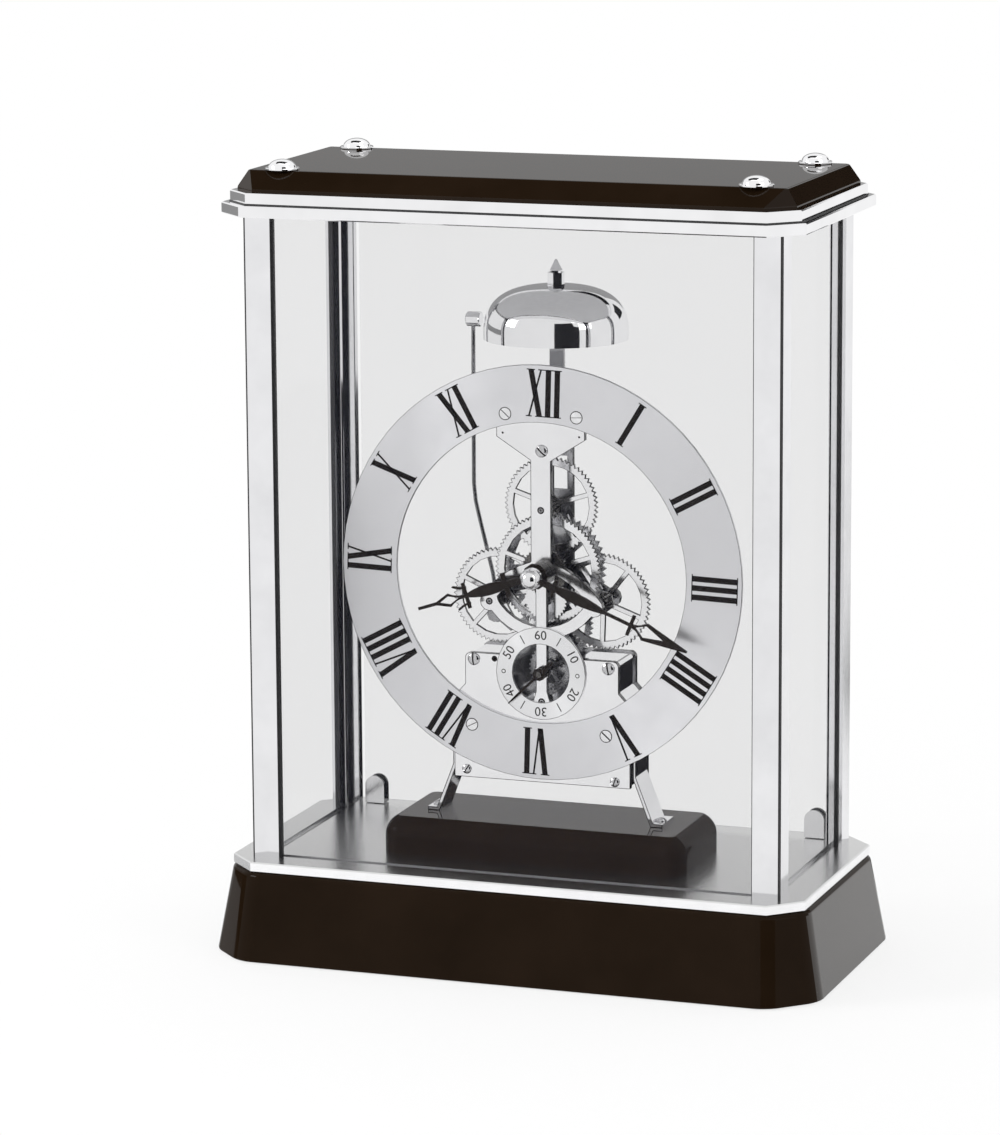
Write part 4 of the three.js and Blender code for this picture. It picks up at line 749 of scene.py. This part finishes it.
def make_edge_lines():
    """Fine dark lines along the front edges of the plates, rings, wheels and legs, a painted shade
    that outlines them.
    """
    for node_name, body, width in EDGE_SHADE_LINES:
        bm = bmesh.new()
        bm.from_mesh(nodes[node_name].data)
        bmesh.ops.scale(bm, vec=Vector((1, 1, 1)) / MM, verts=bm.verts)
        bmesh.ops.remove_doubles(bm, verts=bm.verts, dist=MERGE)
        bm.normal_update()
        reach = min(vert.co.y for vert in bm.verts) + EDGE_DEPTH
        rest = [
            face for face in bm.faces
            if face.normal.y >= -0.99 or face.calc_center_median().y >= reach]
        bmesh.ops.delete(bm, geom=rest, context="FACES")
        border = set(bmesh.ops.inset_region(
            bm, faces=bm.faces[:], use_boundary=True, use_even_offset=True, thickness=width,
            depth=0.0)["faces"])
        middle = [face for face in bm.faces if face not in border]
        bmesh.ops.delete(bm, geom=middle, context="FACES")
        bmesh.ops.translate(bm, vec=(0, -EDGE_RISE, 0), verts=bm.verts)
        bmesh.ops.solidify(bm, geom=bm.faces[:], thickness=EDGE_RISE / 2)
        settle(bm, node_name + "_edge_line", PRINT_AND_SHADE_BLACK, body)


# Marks on the dials

MARK_HEIGHT = 0.07
MARK_SUNK = 0.02
STROKE = 1.9
HAIRLINE = 0.62
SERIF = 0.35
NUMERAL_LOW = 52.6
NUMERAL_HIGH = 68.5
NUMERAL_TURN = 1.6
FOOT = NUMERAL_LOW + SERIF / 2
HEAD = NUMERAL_HIGH - SERIF / 2

# Each letter: its width, its strokes as foot, head and thickness, and its serifs as middle,
# width and height
LETTERS = {
    "I": (
        3.1, ((1.55, 1.55, STROKE),),
        ((1.55, 3.06, FOOT), (1.55, 3.06, HEAD))),
    "V": (
        6.3, ((3.4, 1.3, STROKE), (3.7, 5.4, HAIRLINE)),
        ((1.3, 3.0, HEAD), (5.4, 2.0, HEAD))),
    "X": (
        5.9, ((4.6, 1.3, STROKE), (0.9, 4.9, HAIRLINE)),
        ((4.6, 2.9, FOOT), (1.3, 2.9, HEAD), (0.9, 2.1, FOOT), (4.9, 2.1, HEAD))),
}
HOURS = ("XII", "I", "II", "III", "IIII", "V", "VI", "VII", "VIII", "IX", "X", "XI")
TICKS = (5, 25, 35, 55)
TICK_LOW = (0.0, 11.2)
TICK_HIGH = (0.0, 14.4)
TICK_WIDTH = 0.3
NUMBER_SIZE = 4.45
NUMBER_RADIUS = 12.85


def around(centre, degrees):
    """The place of a mark that is turned about the middle of a dial."""
    return Matrix.Translation(centre) @ Matrix.Rotation(math.radians(degrees), 4, "Y")


def stroke(bm, low, high, width, place):
    """A bar with level ends from a low point to a high point, as x and z, on the dial's face."""
    (x0, z0), (x1, z1) = low, high
    shape = Matrix((
        (width, 0, x1 - x0, (x0 + x1) / 2),
        (0, MARK_HEIGHT, 0, MARK_SUNK - MARK_HEIGHT / 2),
        (0, 0, z1 - z0, (z0 + z1) / 2),
        (0, 0, 0, 1)))
    bmesh.ops.create_cube(bm, size=1.0, matrix=place @ shape)


def make_hour_numerals():
    """The twelve hours, each on its own radius."""
    for hour, numeral in enumerate(HOURS):
        bm = bmesh.new()
        place = around(DIAL, hour * 30 + NUMERAL_TURN)
        left = -sum(LETTERS[letter][0] for letter in numeral) / 2
        for letter in numeral:
            letter_width, strokes, serifs = LETTERS[letter]
            for foot, head, width in strokes:
                stroke(bm, (left + foot, NUMERAL_LOW), (left + head, NUMERAL_HIGH), width, place)
            for middle, width, z in serifs:
                x = left + middle
                stroke(bm, (x, z - SERIF / 2), (x, z + SERIF / 2), width, place)
            left += letter_width
        settle(bm, f"numeral_{hour or 12}", PRINT_AND_SHADE_BLACK, "case")


def flat_text(body):
    """A bmesh of flat numbers about the origin."""
    text = bpy.data.curves.new("seconds_text", "FONT")
    text.body = body
    text.size = NUMBER_SIZE
    text.align_x = "CENTER"
    text.align_y = "CENTER"
    text.resolution_u = 3
    holder = bpy.data.objects.new("seconds_text", text)
    bm = bmesh.new()
    bm.from_mesh(holder.to_mesh())
    holder.to_mesh_clear()
    bpy.data.objects.remove(holder)
    bpy.data.curves.remove(text)
    return bm


def make_seconds_marks():
    """The ticks and numbers of the seconds dial."""
    ticks = bmesh.new()
    for mark in TICKS:
        stroke(ticks, TICK_LOW, TICK_HIGH, TICK_WIDTH, around(SECONDS, mark * 6))
    settle(ticks, "seconds_ticks", PRINT_AND_SHADE_BLACK, "case")
    for mark in range(0, 60, 10):
        bm = flat_text(str(mark or 60))
        raised = bmesh.ops.extrude_face_region(bm, geom=bm.faces[:])
        lifted = [item for item in raised["geom"] if isinstance(item, bmesh.types.BMVert)]
        bmesh.ops.translate(bm, vec=(0, 0, MARK_HEIGHT), verts=lifted)
        bmesh.ops.transform(bm, matrix=UPRIGHT, verts=bm.verts)
        bmesh.ops.translate(bm, vec=(0, MARK_SUNK, NUMBER_RADIUS), verts=bm.verts)
        bmesh.ops.transform(bm, matrix=around(SECONDS, mark * 6), verts=bm.verts)
        settle(bm, f"seconds_number_{mark or 60}", PRINT_AND_SHADE_BLACK, "case")


make_plinth()
make_top_board()
make_block()
make_bell()
make_hand_cap()
make_collar()
make_hammer_head()
make_top_screws()
make_screws()
make_bushings()
make_lining()
make_seals()
make_trims()
make_edge_lines()
make_hour_numerals()
make_seconds_marks()


# Studio

FLOOR_SIZE = 1.2
FLOOR_FADE = (0.12, 0.45)
FLOOR_ALPHA = 0.22
WORLD_LIGHT = 0.75
CAMERA_CARD_RADIUS = 1.5
CAMERA_CARD_PATH = [
    (CAMERA_CARD_RADIUS * math.sin(math.radians(turn)),
     -CAMERA_CARD_RADIUS * math.cos(math.radians(turn))) for turn in range(16, 57, 4)]
BACK_PATH = [(0.05, 0.55), (-0.7, 0.45)]
LEFT_PATH = [(-0.8, -0.2), (-0.8, 0.6)]
BEVEL_PATH = [(0.17, 0.55), (0.42, 0.55)]

# Upright cards: name, path, lowest and highest edge, brightness
UPRIGHT_CARDS = (
    ("camera_card", CAMERA_CARD_PATH, -0.35, 1.05, 0.01),
    ("back_card_low", BACK_PATH, 0.0, 0.25, 1.0),
    ("back_card_high", BACK_PATH, 0.25, 0.5, 0.38),
    ("left_card_floor", LEFT_PATH, -0.24, -0.1, 0.35),
    ("left_card_low", LEFT_PATH, -0.05, 0.06, 0.01),
    ("left_card_high", LEFT_PATH, 0.125, 0.2, 0.3),
    ("bevel_card", BEVEL_PATH, 0.30, 0.49, 0.02),
)

# Level cards: name, corners, height, brightness
LEVEL_CARDS = (
    ("ceiling_card", [(-0.6, 0.0), (0.1, 0.0), (0.1, 0.5), (-0.6, 0.5)], 1.1, 0.03),
    ("floor_card",
     [(-0.22, 0.08), (0.09, 0.08), (0.20, 0.42), (0.36, 1.1), (0.10, 1.1)], 0.003, 0.01),
)

# Lamps: name, place, target, width, height, power
LAMPS = (
    ("key_lamp", (-1.3, -0.75, 0.7), (0, 0, 0.13), 0.45, 0.45, 12.0),
    ("fill_lamp", (1.2, -0.6, 0.9), (0, 0, 0.12), 0.8, 1.0, 2.5),
    ("top_lamp", (0.0, 0.3, 1.6), (0, 0, 0.1), 1.2, 0.9, 4.0),
)


def stage_mesh(bm, name, finish):
    """Puts a mesh of the studio on the stage."""
    mesh = bpy.data.meshes.new(name)
    bm.to_mesh(mesh)
    bm.free()
    mesh.materials.append(finish)
    thing = bpy.data.objects.new(name, mesh)
    scene.collection.objects.link(thing)
    return thing


def make_floor():
    """A pale floor that fades into the white round it."""
    finish, tree, shader = new_finish("pale_floor")
    shader.inputs["Base Color"].default_value = (0.93, 0.93, 0.93, 1.0)
    shader.inputs["Roughness"].default_value = 0.9
    shader.inputs["Specular IOR Level"].default_value = 0.0
    place = tree.nodes.new("ShaderNodeTexCoord")
    distance = tree.nodes.new("ShaderNodeVectorMath")
    distance.operation = "LENGTH"
    fade = tree.nodes.new("ShaderNodeMapRange")
    fade.interpolation_type = "SMOOTHSTEP"
    fade.inputs["From Min"].default_value = FLOOR_FADE[0]
    fade.inputs["From Max"].default_value = FLOOR_FADE[1]
    fade.inputs["To Min"].default_value = FLOOR_ALPHA
    fade.inputs["To Max"].default_value = 0.0
    tree.links.new(place.outputs["Object"], distance.inputs[0])
    tree.links.new(distance.outputs["Value"], fade.inputs["Value"])
    tree.links.new(fade.outputs["Result"], shader.inputs["Alpha"])
    bm = bmesh.new()
    bmesh.ops.create_grid(bm, x_segments=1, y_segments=1, size=FLOOR_SIZE)
    stage_mesh(bm, "studio_floor", finish)


def hang_card(bm, name, brightness):
    """Hangs a card that only the polished metal and the lacquer reflect."""
    finish, tree, shader = new_finish(name)
    tree.nodes.remove(shader)
    glow = tree.nodes.new("ShaderNodeEmission")
    glow.inputs["Color"].default_value = (brightness, brightness, brightness, 1.0)
    tree.links.new(glow.outputs["Emission"], tree.nodes["Material Output"].inputs["Surface"])
    card = stage_mesh(bm, name, finish)
    card.visible_camera = False
    card.visible_diffuse = False
    card.visible_transmission = False
    card.visible_shadow = False


def make_cards():
    """The cards round the clock, for its metal and lacquer to reflect."""
    for name, path, low, high, brightness in UPRIGHT_CARDS:
        bm = bmesh.new()
        foot = [bm.verts.new((x, y, low)) for x, y in path]
        edges = [bm.edges.new(pair) for pair in zip(foot, foot[1:])]
        raised = bmesh.ops.extrude_edge_only(bm, edges=edges)
        head = [item for item in raised["geom"] if isinstance(item, bmesh.types.BMVert)]
        bmesh.ops.translate(bm, vec=(0, 0, high - low), verts=head)
        hang_card(bm, name, brightness)
    for name, corners, height, brightness in LEVEL_CARDS:
        bm = bmesh.new()
        outline = [bm.verts.new((x, y, height)) for x, y in corners]
        bmesh.ops.contextual_create(bm, geom=outline)
        hang_card(bm, name, brightness)


def make_world():
    """White all round, and a little dimmer as a light on the clock."""
    world = bpy.data.worlds.new("white_studio")
    scene.world = world
    world.use_nodes = True
    tree = world.node_tree
    background = tree.nodes["Background"]
    path = tree.nodes.new("ShaderNodeLightPath")
    seen = path.outputs["Is Camera Ray"]
    for ray in ("Is Glossy Ray", "Is Transmission Ray"):
        either = tree.nodes.new("ShaderNodeMath")
        either.operation = "MAXIMUM"
        tree.links.new(seen, either.inputs[0])
        tree.links.new(path.outputs[ray], either.inputs[1])
        seen = either.outputs["Value"]
    strength = tree.nodes.new("ShaderNodeMapRange")
    strength.inputs["To Min"].default_value = WORLD_LIGHT
    strength.inputs["To Max"].default_value = 1.0
    tree.links.new(seen, strength.inputs["Value"])
    background.inputs["Color"].default_value = (1.0, 1.0, 1.0, 1.0)
    tree.links.new(strength.outputs["Result"], background.inputs["Strength"])


def make_lamps():
    """Soft lamps in front of the clock and over it."""
    for name, place, target, width, height, power in LAMPS:
        lamp = bpy.data.lights.new(name, "AREA")
        lamp.shape = "RECTANGLE"
        lamp.size = width
        lamp.size_y = height
        lamp.energy = power
        holder = bpy.data.objects.new(name, lamp)
        holder.location = place
        aim = Vector(target) - Vector(place)
        holder.rotation_euler = aim.to_track_quat("-Z", "Y").to_euler()
        scene.collection.objects.link(holder)


make_floor()
make_cards()
make_world()
make_lamps()


# Camera at the photograph's angle

YAW = math.radians(19.805)
PITCH = math.radians(11.107)
ROLL = math.radians(-0.3596)
TARGET = Vector((-0.018151, 0.0, 0.12871))
DISTANCE = 1.648344
SENSOR_WIDTH = 36.0
FOCAL_LENGTH = 156.15


def make_camera():
    """A camera that looks at the clock from the right and from a little above."""
    level = math.cos(PITCH)
    back = Vector((math.sin(YAW) * level, -math.cos(YAW) * level, math.sin(PITCH)))
    right = Vector((math.cos(YAW), math.sin(YAW), 0.0))
    up = back.cross(right)
    rolled_right = right * math.cos(ROLL) + up * math.sin(ROLL)
    rolled_up = up * math.cos(ROLL) - right * math.sin(ROLL)
    lens = bpy.data.cameras.new("photo_camera")
    lens.sensor_width = SENSOR_WIDTH
    lens.lens = FOCAL_LENGTH
    camera = bpy.data.objects.new("photo_camera", lens)
    turn = Matrix((rolled_right, rolled_up, back)).transposed().to_4x4()
    camera.matrix_world = Matrix.Translation(TARGET + back * DISTANCE) @ turn
    scene.collection.objects.link(camera)
    scene.camera = camera


make_camera()

scene.view_settings.view_transform = "Standard"
